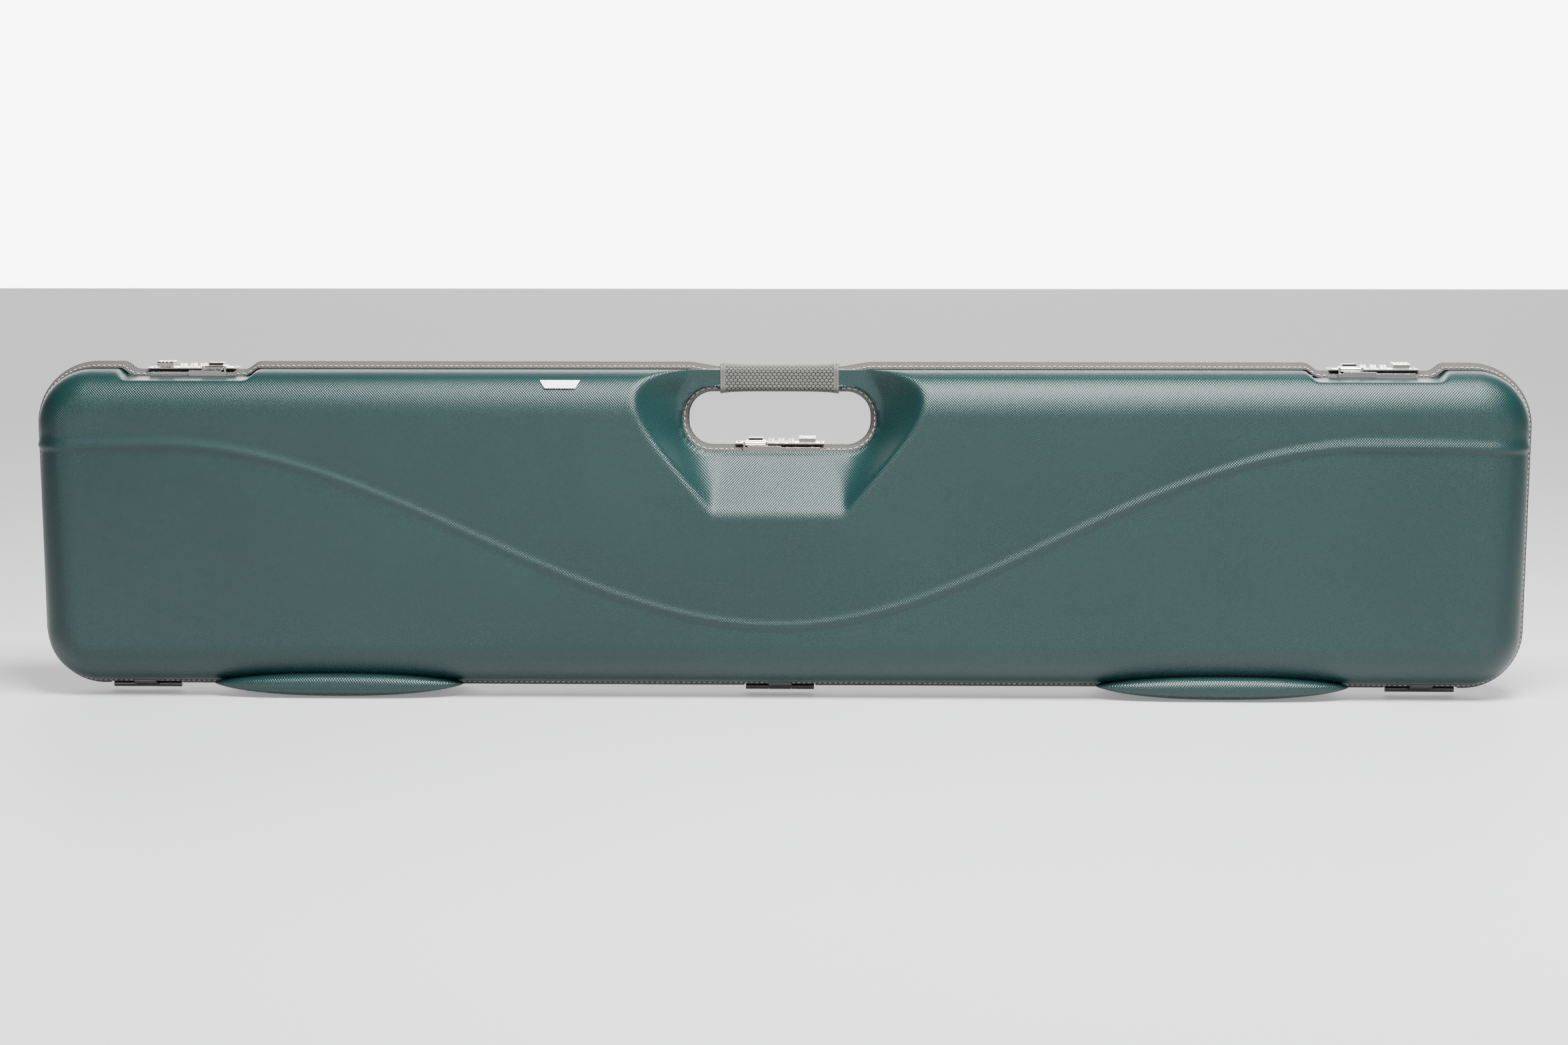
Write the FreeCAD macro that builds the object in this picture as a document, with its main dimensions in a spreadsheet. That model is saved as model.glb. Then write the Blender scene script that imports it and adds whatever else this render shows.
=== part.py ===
import FreeCAD, Part
import math
import os

import Sketcher

# Long-gun travel case: two moulded shells hinged along their lower edge, closed by three
# three-wheel combination locks. Millimetres. +X runs along the case, +Y goes from the lid
# to the base and +Z is up. The origin is on the floor, under the middle of the seam.

DRIVING = {
    # overall
    "half_length": 654.0,
    "case_top": 290.0,
    "crest_bottom": 5.1,
    "half_depth": 57.0,
    "side_lean": 5.0,
    "seam_half": 0.15,
    # edge trim
    "trim_rise": 5.4,
    "trim_depth": 13.5,
    "trim_fall": 4.4,
    # shell
    "wall": 3.0,
    "draft": 2.5,
    "corner_upper": 50.0,
    "corner_lower": 46.0,
    "front_round": 38.0,
    # hand opening and the bar above it
    "hole_half": 79.0,
    "hole_floor": 218.0,
    "hole_ceiling": 264.0,
    "hole_round": 21.0,
    "bar_depth": 15.5,
    "scoop_wide": 124.0,
    "scoop_narrow": 56.0,
    "scoop_waist": 246.0,
    "scoop_foot": 160.0,
    # grip sleeve
    "sleeve_half": 51.5,
    "sleeve_wall": 1.5,
    "sleeve_dip": 2.5,
    # lock recesses
    "lock_place": 514.0,
    "recess_drop": 7.0,
    "recess_half": 54.0,
    "recess_slope": 9.0,
    # feet
    "foot_place": 384.0,
    "foot_half": 110.0,
    "foot_flat": 62.0,
    "foot_inner": 14.0,
    "foot_outer": 55.0,
    "foot_tall": 22.0,
    # foam
    "foam_gap": 1.0,
    "foam_face": 27.0,
    # hinges
    "hinge_place": 560.0,
    "hinge_axis": 4.0,
    "knuckle_radius": 2.6,
    "knuckle_run": 20.0,
    "pin_radius": 1.0,
    "running": 0.06,
    "leaf_thick": 1.1,
    # locks
    "plate_half": 38.5,
    "plate_front": 9.0,
    "plate_back": 15.0,
    "plate_top": 1.5,
    "plate_under": 0.4,
    "wheel_radius": 4.7,
    "wheel_width": 5.4,
    "wheel_pitch": 8.7,
    "wheel_middle": -1.0,
    "wheel_rear": 6.8,
    "wheel_lift": 0.2,
    "axle_radius": 1.0,
    "button_long": 14.7,
    "button_start": -31.2,
    "button_tall": 5.2,
    "button_travel": 3.0,
    "hasp_start": 12.5,
    "hasp_end": 29.5,
    "hasp_axis": 12.2,
    "hasp_lift": 1.5,
    "hasp_reach": 9.0,
    "hasp_clear": 0.4,
    "bracket_front": 14.9,
    "bracket_end": 27.5,
    # name plate and straps
    "plate_place": -188.0,
    "plate_level": 272.5,
    "tag_half": 17.5,
    "strap_place": 430.0,
    "strap_half": 19.0,
}

doc = FreeCAD.newDocument("long_gun_case")
sheet = doc.addObject("Spreadsheet::Sheet", "sizes")
for row, (alias, number) in enumerate(DRIVING.items(), start=1):
    sheet.set(f"A{row}", alias)
    sheet.set(f"B{row}", str(number))
    sheet.setAlias(f"B{row}", alias)
doc.recompute()


class Size:
    """A length together with the sheet expression that it comes from."""

    def __init__(self, number, text):
        self.number = number
        self.text = text

    def __add__(self, other):
        other = size(other)
        return Size(self.number + other.number, f"({self.text} + {other.text})")

    def __sub__(self, other):
        other = size(other)
        return Size(self.number - other.number, f"({self.text} - {other.text})")

    def __mul__(self, other):
        other = size(other)
        return Size(self.number * other.number, f"({self.text} * {other.text})")

    def __truediv__(self, other):
        other = size(other)
        return Size(self.number / other.number, f"({self.text} / {other.text})")

    def __neg__(self):
        return Size(-self.number, f"(0 - {self.text})")


def size(value):
    """A plain number, or the name of a cell, as a Size."""
    if isinstance(value, Size):
        return value
    if isinstance(value, str):
        return Size(DRIVING[value], f"sizes.{value}")
    return Size(float(value), repr(float(value)))


def bind(item, prop, value):
    """Bind one property of a document object to the sheet."""
    value = size(value)
    item.setExpression(prop, value.text)


# ---------------------------------------------------------------- general shapes


def origin_plane(body, role):
    return [plane for plane in body.Origin.OriginFeatures if plane.Role == role][0]


def unit(start, end):
    length = math.hypot(end[0] - start[0], end[1] - start[1])
    return (end[0] - start[0]) / length, (end[1] - start[1]) / length


def outline(body, name, role, offset, corners):
    """A closed sketch through corners (across, up, radius), every corner bound to the sheet."""
    sketch = body.newObject("Sketcher::SketchObject", name)
    sketch.AttachmentSupport = [(origin_plane(body, role), "")]
    sketch.MapMode = "FlatFace"
    bind(sketch, "AttachmentOffset.Base.z", offset)
    corners = [(size(across), size(up), size(radius)) for across, up, radius in corners]
    spots = [(across.number, up.number) for across, up, radius in corners]
    count = len(corners)
    before = []
    after = []
    for index, (across, up, radius) in enumerate(corners):
        here = spots[index]
        back = unit(here, spots[index - 1])
        forward = unit(here, spots[(index + 1) % count])
        turn = math.acos(back[0] * forward[0] + back[1] * forward[1])
        reach = radius.number / math.tan(turn / 2)
        before.append((here[0] + back[0] * reach, here[1] + back[1] * reach))
        after.append((here[0] + forward[0] * reach, here[1] + forward[1] * reach))
    lines = []
    for index in range(count):
        start = FreeCAD.Vector(*after[index], 0)
        end = FreeCAD.Vector(*before[(index + 1) % count], 0)
        lines.append(sketch.addGeometry(Part.LineSegment(start, end), False))
    for index, (across, up, radius) in enumerate(corners):
        previous = lines[index - 1]
        following = lines[index]
        if radius.number == 0:
            sketch.addConstraint(Sketcher.Constraint("Coincident", previous, 2, following, 1))
            marker, place = following, 1
        else:
            marker = sketch.addGeometry(Part.Point(FreeCAD.Vector(*spots[index], 0)), True)
            place = 1
            arc = rounded_corner(sketch, spots[index], before[index], after[index], radius)
            start, end = arc[1:]
            sketch.addConstraint(Sketcher.Constraint("Tangent", previous, 2, arc[0], start))
            sketch.addConstraint(Sketcher.Constraint("Tangent", arc[0], end, following, 1))
            sketch.addConstraint(Sketcher.Constraint("PointOnObject", marker, 1, previous))
            sketch.addConstraint(Sketcher.Constraint("PointOnObject", marker, 1, following))
            held = sketch.addConstraint(Sketcher.Constraint("Radius", arc[0], radius.number))
            sketch.setExpression(f"Constraints[{held}]", radius.text)
        for kind, value in (("DistanceX", across), ("DistanceY", up)):
            held = sketch.addConstraint(
                Sketcher.Constraint(kind, -1, 1, marker, place, value.number))
            sketch.setExpression(f"Constraints[{held}]", value.text)
    return sketch


def rounded_corner(sketch, corner, first, last, radius):
    """The arc that rounds one corner, and which of its ends meets the first and last line."""
    middle = ((first[0] + last[0]) / 2, (first[1] + last[1]) / 2)
    inward = unit(corner, middle)
    reach = math.hypot(first[0] - corner[0], first[1] - corner[1])
    to_centre = math.hypot(reach, radius.number)
    centre = (corner[0] + inward[0] * to_centre, corner[1] + inward[1] * to_centre)
    angles = [math.atan2(end[1] - centre[1], end[0] - centre[0]) for end in (first, last)]
    sweep = (angles[1] - angles[0]) % (2 * math.pi)
    circle = Part.Circle(FreeCAD.Vector(*centre, 0), FreeCAD.Vector(0, 0, 1), radius.number)
    if sweep < math.pi:
        arc = sketch.addGeometry(Part.ArcOfCircle(circle, angles[0], angles[0] + sweep), False)
        return arc, 1, 2
    arc = sketch.addGeometry(Part.ArcOfCircle(circle, angles[1], angles[1] + 2 * math.pi - sweep),
                             False)
    return arc, 2, 1


def new_body(label):
    body = doc.addObject("PartDesign::Body", label)
    body.Label = label
    return body


def pad(body, sketch, length, taper=None, backwards=False):
    feature = body.newObject("PartDesign::Pad", "pad")
    feature.Profile = sketch
    bind(feature, "Length", length)
    if taper is not None:
        feature.setExpression("TaperAngle", taper)
    feature.Reversed = backwards
    return feature


def pocket(body, sketch, length, taper=None, backwards=True):
    feature = body.newObject("PartDesign::Pocket", "pocket")
    feature.Profile = sketch
    bind(feature, "Length", length)
    if taper is not None:
        feature.setExpression("TaperAngle", taper)
    feature.Reversed = backwards
    return feature


def loft(body, kind, first, last):
    """A straight-sided loft between two sketches of the same body."""
    feature = body.newObject(f"PartDesign::{kind}", "loft")
    feature.Profile = first
    feature.Sections = [last]
    feature.Ruled = True
    return feature


def bar(label, profile, start, length):
    """A prism along X from a profile in the YZ plane."""
    body = new_body(label)
    profile = [(across, up, 0) for across, up in profile]
    pad(body, outline(body, "profile", "YZ_Plane", start, profile), length)
    return body


def box(label, low, high):
    """A block between two corners."""
    block = doc.addObject("Part::Box", label)
    low = [size(value) for value in low]
    high = [size(value) for value in high]
    for prop, axis, start, end in zip(("Length", "Width", "Height"), "xyz", low, high):
        bind(block, prop, end - start)
        bind(block, f"Placement.Base.{axis}", start)
    return block


def rod(label, radius, start, end, rear, level):
    """A cylinder along X."""
    cylinder = doc.addObject("Part::Cylinder", label)
    cylinder.Placement = FreeCAD.Placement(FreeCAD.Vector(), FreeCAD.Rotation(0, 90, 0))
    bind(cylinder, "Radius", radius)
    bind(cylinder, "Height", size(end) - start)
    for axis, value in zip("xyz", (start, rear, level)):
        bind(cylinder, f"Placement.Base.{axis}", value)
    return cylinder


def stud(label, radius, across, rear, low, high):
    """A cylinder along Z."""
    cylinder = doc.addObject("Part::Cylinder", label)
    bind(cylinder, "Radius", radius)
    bind(cylinder, "Height", size(high) - low)
    for axis, value in zip("xyz", (across, rear, low)):
        bind(cylinder, f"Placement.Base.{axis}", value)
    return cylinder


def cut(label, base, tools):
    """Base with each tool taken away in turn."""
    for count, tool in enumerate(tools):
        made = doc.addObject("Part::Cut", f"{label}_cut_{count}")
        made.Base = base
        made.Tool = tool
        base = made
    base.Label = label
    return base


def fuse(label, pieces):
    made = doc.addObject("Part::MultiFuse", f"{label}_fuse")
    made.Shapes = pieces
    made.Label = label
    return made


def common(label, pieces):
    made = doc.addObject("Part::MultiCommon", f"{label}_common")
    made.Shapes = pieces
    made.Label = label
    return made


def group(label, pieces):
    """Separate solids that share one node."""
    made = doc.addObject("Part::Compound", f"{label}_group")
    made.Links = pieces
    made.Label = label
    return made


def mirrored(label, source):
    """The same piece on the other side of the seam."""
    made = doc.addObject("Part::Mirroring", f"{label}_mirror")
    made.Source = source
    made.Base = FreeCAD.Vector(0, 0, 0)
    made.Normal = FreeCAD.Vector(0, 1, 0)
    made.Label = label
    return made


nodes = []


def keep(item):
    """Hand in this object as a node named by its label."""
    nodes.append(item)
    return item


# ---------------------------------------------------------------- the moulded shells

shell_half = size("half_length") - "trim_rise"
shell_top = size("case_top") - "trim_rise"
shell_bottom = size("crest_bottom") + "trim_rise"
recess_floor = shell_top - "recess_drop"
front_cut = size("half_depth") + 20


def front_face(shape):
    """The name of the flat face that is furthest from the seam."""
    depths = [face.CenterOfMass.y for face in shape.Faces]
    return f"Face{depths.index(min(depths)) + 1}"


def skin(label, inset, feet):
    """The lid's moulded form, drawn in from its outer surface by inset."""
    inset = size(inset)
    body = new_body(label)
    half = shell_half - inset
    top = shell_top - inset
    bottom = shell_bottom + inset
    lean = half - "side_lean"
    upper = size("corner_upper") - inset
    lower = size("corner_lower") - inset
    rim = outline(body, "rim", "XZ_Plane", "seam_half",
                  [(-half, top, upper), (half, top, upper),
                   (lean, bottom, lower), (-lean, bottom, lower)])
    form = pad(body, rim, size("half_depth") - "seam_half" - inset, "0 - sizes.draft")
    doc.recompute()
    rounding = body.newObject("PartDesign::Fillet", "front_rounding")
    rounding.Base = (form, [front_face(form.Shape)])
    bind(rounding, "Radius", size("front_round") - inset)
    doc.recompute()
    if feet:
        for side in (-1, 1):
            add_foot(body, side)
    scoop(body, inset)
    hole = outline(body, "hand_hole", "XZ_Plane", 0, hole_corners(size("trim_rise") + inset))
    pocket(body, hole, "bar_depth")
    for side in (-1, 1):
        centre = size("lock_place") * side
        flat = size("recess_half") + inset
        wide = flat + size("recess_slope") * 3
        above = recess_floor - inset + size("recess_drop") * 3
        recess = outline(body, "recess", "XZ_Plane", 0,
                         [(centre - flat, recess_floor - inset, 0),
                          (centre + flat, recess_floor - inset, 0),
                          (centre + wide, above, 0), (centre - wide, above, 0)])
        pocket(body, recess, front_cut)
    return body


def hole_corners(grow):
    """The hand opening, grown on every side."""
    half = size("hole_half") + grow
    floor = size("hole_floor") - grow
    ceiling = size("hole_ceiling") + grow
    radius = size("hole_round") + grow
    return [(-half, ceiling, radius), (half, ceiling, radius),
            (half, floor, radius), (-half, floor, radius)]


def scoop(body, inset):
    """The hollow that leads from the front face to the bar and the hand opening."""
    above = size("case_top") + 20
    mouth = outline(body, "scoop_mouth", "XZ_Plane", size("half_depth") + 3 - inset,
                    [(-(size("scoop_wide") + inset), above, 0),
                     (size("scoop_wide") + inset, above, 0),
                     (size("scoop_wide") + inset, size("scoop_waist"), 0),
                     (size("scoop_narrow") + inset, size("scoop_foot") - inset, 0),
                     (-(size("scoop_narrow") + inset), size("scoop_foot") - inset, 0),
                     (-(size("scoop_wide") + inset), size("scoop_waist"), 0)])
    side = size("hole_half") + "trim_rise" + 2 + inset
    low = size("hole_floor") - "trim_rise" - 1 - inset
    throat = outline(body, "scoop_throat", "XZ_Plane", size("bar_depth") - inset,
                     [(-side, above, 0), (side, above, 0), (side, low + 18, 0),
                      (side - 18, low, 0), (-(side - 18), low, 0), (-side, low + 18, 0)])
    loft(body, "SubtractiveLoft", throat, mouth)


def add_foot(body, side):
    """A lens-shaped foot with a flat tread."""
    centre = size("foot_place") * side
    middle = size("foot_tall") / 2
    foot = outline(body, "foot", "XZ_Plane", "foot_inner",
                   [(centre - "foot_flat", 0, 60), (centre + "foot_flat", 0, 60),
                    (centre + "foot_half", middle, 2),
                    (centre + "foot_flat", "foot_tall", 60),
                    (centre - "foot_flat", "foot_tall", 60),
                    (centre - "foot_half", middle, 2)])
    pad(body, foot, size("foot_outer") - "foot_inner")


outer_skin = skin("lid_outer_skin", 0, True)
inner_skin = skin("lid_inner_skin", "wall", False)
lid_shell = keep(cut("lid_shell", outer_skin, [inner_skin]))

# ---------------------------------------------------------------- edge trim


def rim_corners(drop, dip):
    """The whole rim with both lock recesses and the dip under the grip, drawn in by drop."""
    half = size("half_length") - drop
    top = size("case_top") - drop
    bottom = size("crest_bottom") + drop
    lean = half - "side_lean"
    dip_half = size("sleeve_half") + 2
    corners = [(-half, top, size("corner_upper") + "trim_rise" - drop)]
    for side in (-1, 1):
        centre = size("lock_place") * side
        flat = size("recess_half") + drop - "trim_rise"
        wide = flat + "recess_slope"
        floor = top - "recess_drop"
        corners += [(centre - wide, top, 0), (centre - flat, floor, 0),
                    (centre + flat, floor, 0), (centre + wide, top, 0)]
        if side == -1 and dip:
            corners += [(-dip_half - 4, top, 0), (-dip_half, top - "sleeve_dip", 0),
                        (dip_half, top - "sleeve_dip", 0), (dip_half + 4, top, 0)]
    lower = size("corner_lower") + "trim_rise" - drop
    corners += [(half, top, size("corner_upper") + "trim_rise" - drop),
                (lean, bottom, lower), (-lean, bottom, lower)]
    return corners


trim_body = new_body("lid_trim_loop")
trim_run = size("trim_depth") - "seam_half"
loft(trim_body, "AdditiveLoft",
     outline(trim_body, "rim", "XZ_Plane", "seam_half", rim_corners(size(0), True)),
     outline(trim_body, "front", "XZ_Plane", "trim_depth", rim_corners(size("trim_fall"), True)))
pocket(trim_body, outline(trim_body, "bed", "XZ_Plane", 0, rim_corners(size("trim_rise"), False)),
       size("trim_depth") + 5)

hinge_gaps = []
for number, side in enumerate((-1, 0, 1)):
    centre = size("hinge_place") * side
    reach = size("knuckle_run") * 1.5 + 1
    hinge_gaps.append(box(f"hinge_gap_{number}", (centre - reach, -4.2, 0),
                          (centre + reach, 4.2, 7.4)))

lid_edge_trim = keep(cut("lid_edge_trim", trim_body, hinge_gaps))

hole_trim = new_body("lid_hand_hole_trim")
pad(hole_trim, outline(hole_trim, "bed", "XZ_Plane", "seam_half",
                       hole_corners(size("trim_rise"))), trim_run)
loft(hole_trim, "SubtractiveLoft",
     outline(hole_trim, "opening", "XZ_Plane", "seam_half", hole_corners(size(0))),
     outline(hole_trim, "flare", "XZ_Plane", "trim_depth", hole_corners(size("trim_fall"))))
keep(hole_trim)

# ---------------------------------------------------------------- grip sleeve

sleeve_top = size("case_top") - "sleeve_dip" + "sleeve_wall"
sleeve_low = size("hole_ceiling") - "sleeve_wall"
sleeve_front = size("bar_depth") + 0.1 + "sleeve_wall"


def sleeve_profile():
    """One half of the wrap around the bar, open at the seam."""
    near = -size("seam_half")
    inside = -(size("bar_depth") + 0.1)
    return [(near, sleeve_top, 0), (-sleeve_front, sleeve_top, 4),
            (-sleeve_front, sleeve_low, 4), (near, sleeve_low, 0),
            (near, "hole_ceiling", 0), (inside, "hole_ceiling", 0),
            (inside, size("case_top") - "sleeve_dip", 0),
            (near, size("case_top") - "sleeve_dip", 0)]


sleeve = new_body("lid_grip_sleeve")
pad(sleeve, outline(sleeve, "wrap", "YZ_Plane", -size("sleeve_half"), sleeve_profile()),
    size("sleeve_half") * 2)
keep(sleeve)

# ---------------------------------------------------------------- foam and name plate

foam_skin = skin("lid_foam_skin", size("wall") + "foam_gap", False)
foam_slab = box("foam_slab", (-700, -60, -10), (700, -size("foam_face"), 300))
lid_foam = keep(common("lid_foam", [foam_skin, foam_slab]))

tag_across = size("plate_place")
tag_level = size("plate_level")
tag_block = new_body("name_plate_block")
pad(tag_block, outline(tag_block, "tag", "XZ_Plane", "foam_face",
                       [(tag_across - "tag_half", tag_level + 3.5, 0.5),
                        (tag_across + "tag_half", tag_level + 3.5, 0.5),
                        (tag_across + size("tag_half") - 4, tag_level - 3.2, 1),
                        (tag_across - size("tag_half") + 5, tag_level - 3.2, 2)]),
    size("half_depth") - "foam_face")
tag_skin = skin("name_plate_skin", -0.8, False)
keep(cut("name_plate", common("name_plate_front", [tag_block, tag_skin]), [outer_skin]))

# ---------------------------------------------------------------- the base half

base_shell = keep(mirrored("base_shell", lid_shell))
base_trim_blank = mirrored("base_trim_blank", lid_edge_trim)
base_hole_blank = mirrored("base_hole_blank", hole_trim)
keep(mirrored("base_grip_sleeve", sleeve))
keep(mirrored("base_foam", lid_foam))
for name, side in (("left", -1), ("right", 1)):
    centre = size("strap_place") * side
    keep(box(f"{name}_strap", (centre - "strap_half", size("foam_face") - 1.8, 30),
             (centre + "strap_half", size("foam_face") - 0.2, 262)))

# ---------------------------------------------------------------- hinges

axis_level = size("hinge_axis")


def fallen(rear):
    """How far the edge trim's slope has dropped at this distance from the seam's plane."""
    slope = size("trim_fall") / (size("trim_depth") - "seam_half")
    return slope * (size(rear) - "seam_half")


def leaf(label, side, start, length):
    """One hinge leaf: it lies on the trim's slope and reaches the knuckle. side is -1 or 1."""
    far = size("trim_depth") - 0.5
    near = size("knuckle_radius") - 0.4
    rise_far = size("crest_bottom") + fallen(far)
    rise_near = size("crest_bottom") + fallen(near)
    thick = size("leaf_thick")
    profile = [(near * side, rise_near), (far * side, rise_far),
               (far * side, rise_far - thick), (size(1.0) * side, axis_level - 0.6)]
    return bar(label, profile, start, length)


lid_leaves = []
base_leaves = []
pins = []
run = size("knuckle_run")
for number, side in enumerate((-1, 0, 1)):
    centre = size("hinge_place") * side
    low = centre - run * 1.5
    high = centre + run * 1.5
    gap = size(0.2)
    bore = rod(f"lid_bore_{number}", size("pin_radius") + "running",
               low, high, 0, axis_level)
    knuckle = rod(f"lid_knuckle_{number}", "knuckle_radius",
                  centre - run / 2 + gap, centre + run / 2 - gap, 0, axis_level)
    wing = leaf(f"lid_wing_{number}", -1, centre - run / 2 + gap, run - gap * 2)
    lid_leaves.append(cut(f"lid_leaf_{number}", fuse(f"lid_leaf_blank_{number}",
                                                     [knuckle, wing]), [bore]))
    pin = rod(f"pin_{number}", "pin_radius", low, high, 0, axis_level)
    pins.append(pin)
    for end, (start, stop) in enumerate(((low, centre - run / 2), (centre + run / 2, high))):
        knuckle = rod(f"base_knuckle_{number}_{end}", "knuckle_radius",
                      start, stop, 0, axis_level)
        wing = leaf(f"base_wing_{number}_{end}", 1, start, run)
        base_leaves.append(cut(f"base_leaf_{number}_{end}",
                               fuse(f"base_leaf_blank_{number}_{end}", [knuckle, wing]), [pin]))

keep(group("lid_hinge_leaves", lid_leaves))
keep(group("base_hinge_leaves", base_leaves))
keep(group("hinge_pins", pins))

# ---------------------------------------------------------------- locks


class Lock:
    """One lock: local places run along it from the button's end to the hasp's end."""

    def __init__(self, name, across, seat, turn):
        self.name = name
        self.across = size(across)
        self.seat = size(seat)
        self.turn = turn

    def span(self, start, end):
        """Two local places as the lower and the higher X."""
        places = [self.across + size(place) * self.turn for place in (start, end)]
        places.sort(key=lambda place: place.number)
        return places

    def block(self, label, along, rear, level):
        low, high = self.span(*along)
        return box(f"{self.name}_{label}",
                   (low, rear[0], self.seat + level[0]), (high, rear[1], self.seat + level[1]))

    def prism(self, label, along, profile):
        low, high = self.span(*along)
        profile = [(rear, self.seat + level) for rear, level in profile]
        return bar(f"{self.name}_{label}", profile, low, high - low)

    def round_bar(self, label, radius, along, rear, level):
        low, high = self.span(*along)
        return rod(f"{self.name}_{label}", radius, low, high, rear, self.seat + level)


def lock_wells(lock):
    """What the lock needs removed from the base's trim."""
    return lock.block("well", (-14.8, 13.4), (1.4, 12.2), (-6, 2))


def lock_body(lock):
    near = size("seam_half")
    back = size("plate_back")
    plate = lock.prism("plate", (-size("plate_half"), "plate_half"),
                       [(-size("plate_front"), "plate_under"), (near, "plate_under"), (near, 0),
                        ("trim_depth", -size("trim_fall")), (back, -size("trim_fall")),
                        (back, "plate_top"), (-size("plate_front"), "plate_top")])
    housing = lock.block("housing", (-14.6, 13.2), (1.5, 12.1), (-5.3, 1))
    whole = fuse(f"{lock.name}_lock_blank", [plate, housing])
    top = size("plate_top") + 1
    cuts = [
        lock.block("wheel_bay", (-13.2, 11.8), (1.9, 11.7), (-4.9, top)),
        lock.block("hasp_notch", (18.4, 25.6), (-10, 6.6), (-3, top)),
        lock.block("bolt_channel", (-30, 18.9), (12.4, 13.8), (-1.3, 0.6)),
        lock.block("hook_channel", (14.0, 18.9), (3.4, 13.8), (-0.5, 0.6)),
        lock.block("stem_room", (-29.6, -21.4), (3.6, 13.8), (-0.5, 0.6)),
        lock.block("stem_slot", (-29.6, -21.4), (3.6, 9.4), (0, top)),
        lock.round_bar("axle_seat", "axle_radius", (-14.7, 13.3), "wheel_rear", "wheel_lift"),
    ]
    return keep(cut(f"{lock.name}_lock_body", whole, cuts))


def lock_wheels(lock):
    hub = size("axle_radius")
    keep(lock.round_bar("lock_axle", hub, (-14.6, 13.2), "wheel_rear", "wheel_lift"))
    for number in range(3):
        centre = size("wheel_middle") + size("wheel_pitch") * (number - 1)
        half = size("wheel_width") / 2
        wheel = lock.round_bar(f"rim_{number}", "wheel_radius", (centre - half, centre + half),
                               "wheel_rear", "wheel_lift")
        bore = lock.round_bar(f"rim_bore_{number}", hub + "running",
                              (centre - half - 1, centre + half + 1), "wheel_rear", "wheel_lift")
        keep(cut(f"{lock.name}_wheel_{number + 1}", wheel, [bore]))


def lock_button(lock):
    start = size("button_start")
    end = start + "button_long"
    low = size("plate_top") + 0.15
    high = size("plate_top") + "button_tall"
    shoulder = size(1.2)
    cap = lock.prism("cap", (start, end),
                     [(-4.5, low), (10.5, low), (10.5, high - shoulder),
                      (size(10.5) - shoulder, high), (size(-4.5) + shoulder, high),
                      (-4.5, high - shoulder)])
    grooves = [lock.block(f"finger_groove_{count}",
                          (start + 3.2 + count * 3.2, start + 4.4 + count * 3.2),
                          (-4.6, 10.6), (high - 0.6, high + 1)) for count in range(3)]
    stem = lock.block("stem", (-26, -22), (4, 9), (-0.4, low + 0.3))
    keep(cut(f"{lock.name}_button", fuse(f"{lock.name}_button_blank", [cap, stem]), grooves))
    arm = lock.block("bolt_arm", (-26, -22), (9, 13.7), (-0.4, 0.5))
    slide = lock.block("bolt_bar", (-26, 18.4), (12.5, 13.7), (-0.4, 0.5))
    hook = lock.block("bolt_hook", (17.1, 18.4), (4, 13.7), (-0.4, 0.5))
    keep(fuse(f"{lock.name}_bolt", [arm, slide, hook]))


def hasp_bracket(lock):
    """The folded plate on the lid: a low strip, a deeper flange and two ears for the pin."""
    tread = size("plate_front") + 0.6
    front = size("bracket_front")
    lip = size("trim_depth") + 0.1
    flange = lock.prism("flange", (-1, "bracket_end"),
                        [(-tread, -fallen(tread)), (-tread, -0.3), (-front, -0.6),
                         (-front, -5.3), (-lip, -5.3), (-lip, -fallen(lip))])
    strip = lock.prism("strip", (-35, -1),
                       [(-tread, -fallen(tread)), (-tread, -1.3), (-12.6, -2.0),
                        (-12.6, -fallen(12.6))])
    ears = []
    for count, (start, end) in enumerate(((10.4, 12.2), (29.8, 31.6))):
        ears.append(lock.prism(f"ear_{count}", (start, end),
                               [(-9.7, -fallen(9.7)), (-9.7, 3.3), (-14.7, 3.3),
                                (-14.7, -4.6), (-lip, -4.6), (-lip, -fallen(lip))]))
    foot = lock.prism("ear_foot", (27.5, 31.6),
                      [(-tread, -fallen(tread)), (-tread, -1.3), (-front, -1.9),
                       (-front, -5.3), (-lip, -5.3), (-lip, -fallen(lip))])
    bore = lock.round_bar("ear_bore", "axle_radius", (9, 33), -size("hasp_axis"), "hasp_lift")
    keep(cut(f"{lock.name}_hasp_bracket",
             fuse(f"{lock.name}_bracket_blank", [flange, strip, foot] + ears), [bore]))
    keep(lock.round_bar("hasp_pin", "axle_radius", (10.4, 31.6), -size("hasp_axis"),
                        "hasp_lift"))


def hasp(lock):
    """The hinged plate that closes over the lock, with its tongue and raised thumb tab."""
    low = size("plate_top") + "hasp_clear"
    high = low + 1.2
    start = size("hasp_start")
    end = size("hasp_end")
    axis = -size("hasp_axis")
    knuckle = lock.round_bar("hasp_knuckle", 1.9, (start, end), axis, "hasp_lift")
    plate = lock.prism("hasp_plate", (start, end),
                       [(axis, low), ("hasp_reach", low), ("hasp_reach", high),
                        (axis, high)])
    dome = lock.prism("hasp_dome", (start + 2.2, end - 2.2),
                      [(-6.5, high - 0.2), (8.4, high - 0.2), (8.4, high + 0.8),
                       (5.5, high + 2.6), (-3.0, high + 2.6), (-6.5, high + 0.4)])
    tongue = lock.block("hasp_tongue", (19, 25), (3, 6), (0.45, low + 0.3))
    bore = lock.round_bar("hasp_bore", size("axle_radius") + "running", (9, 33), axis,
                          "hasp_lift")
    keep(cut(f"{lock.name}_hasp",
             fuse(f"{lock.name}_hasp_blank", [knuckle, plate, dome, tongue]), [bore]))


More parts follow.
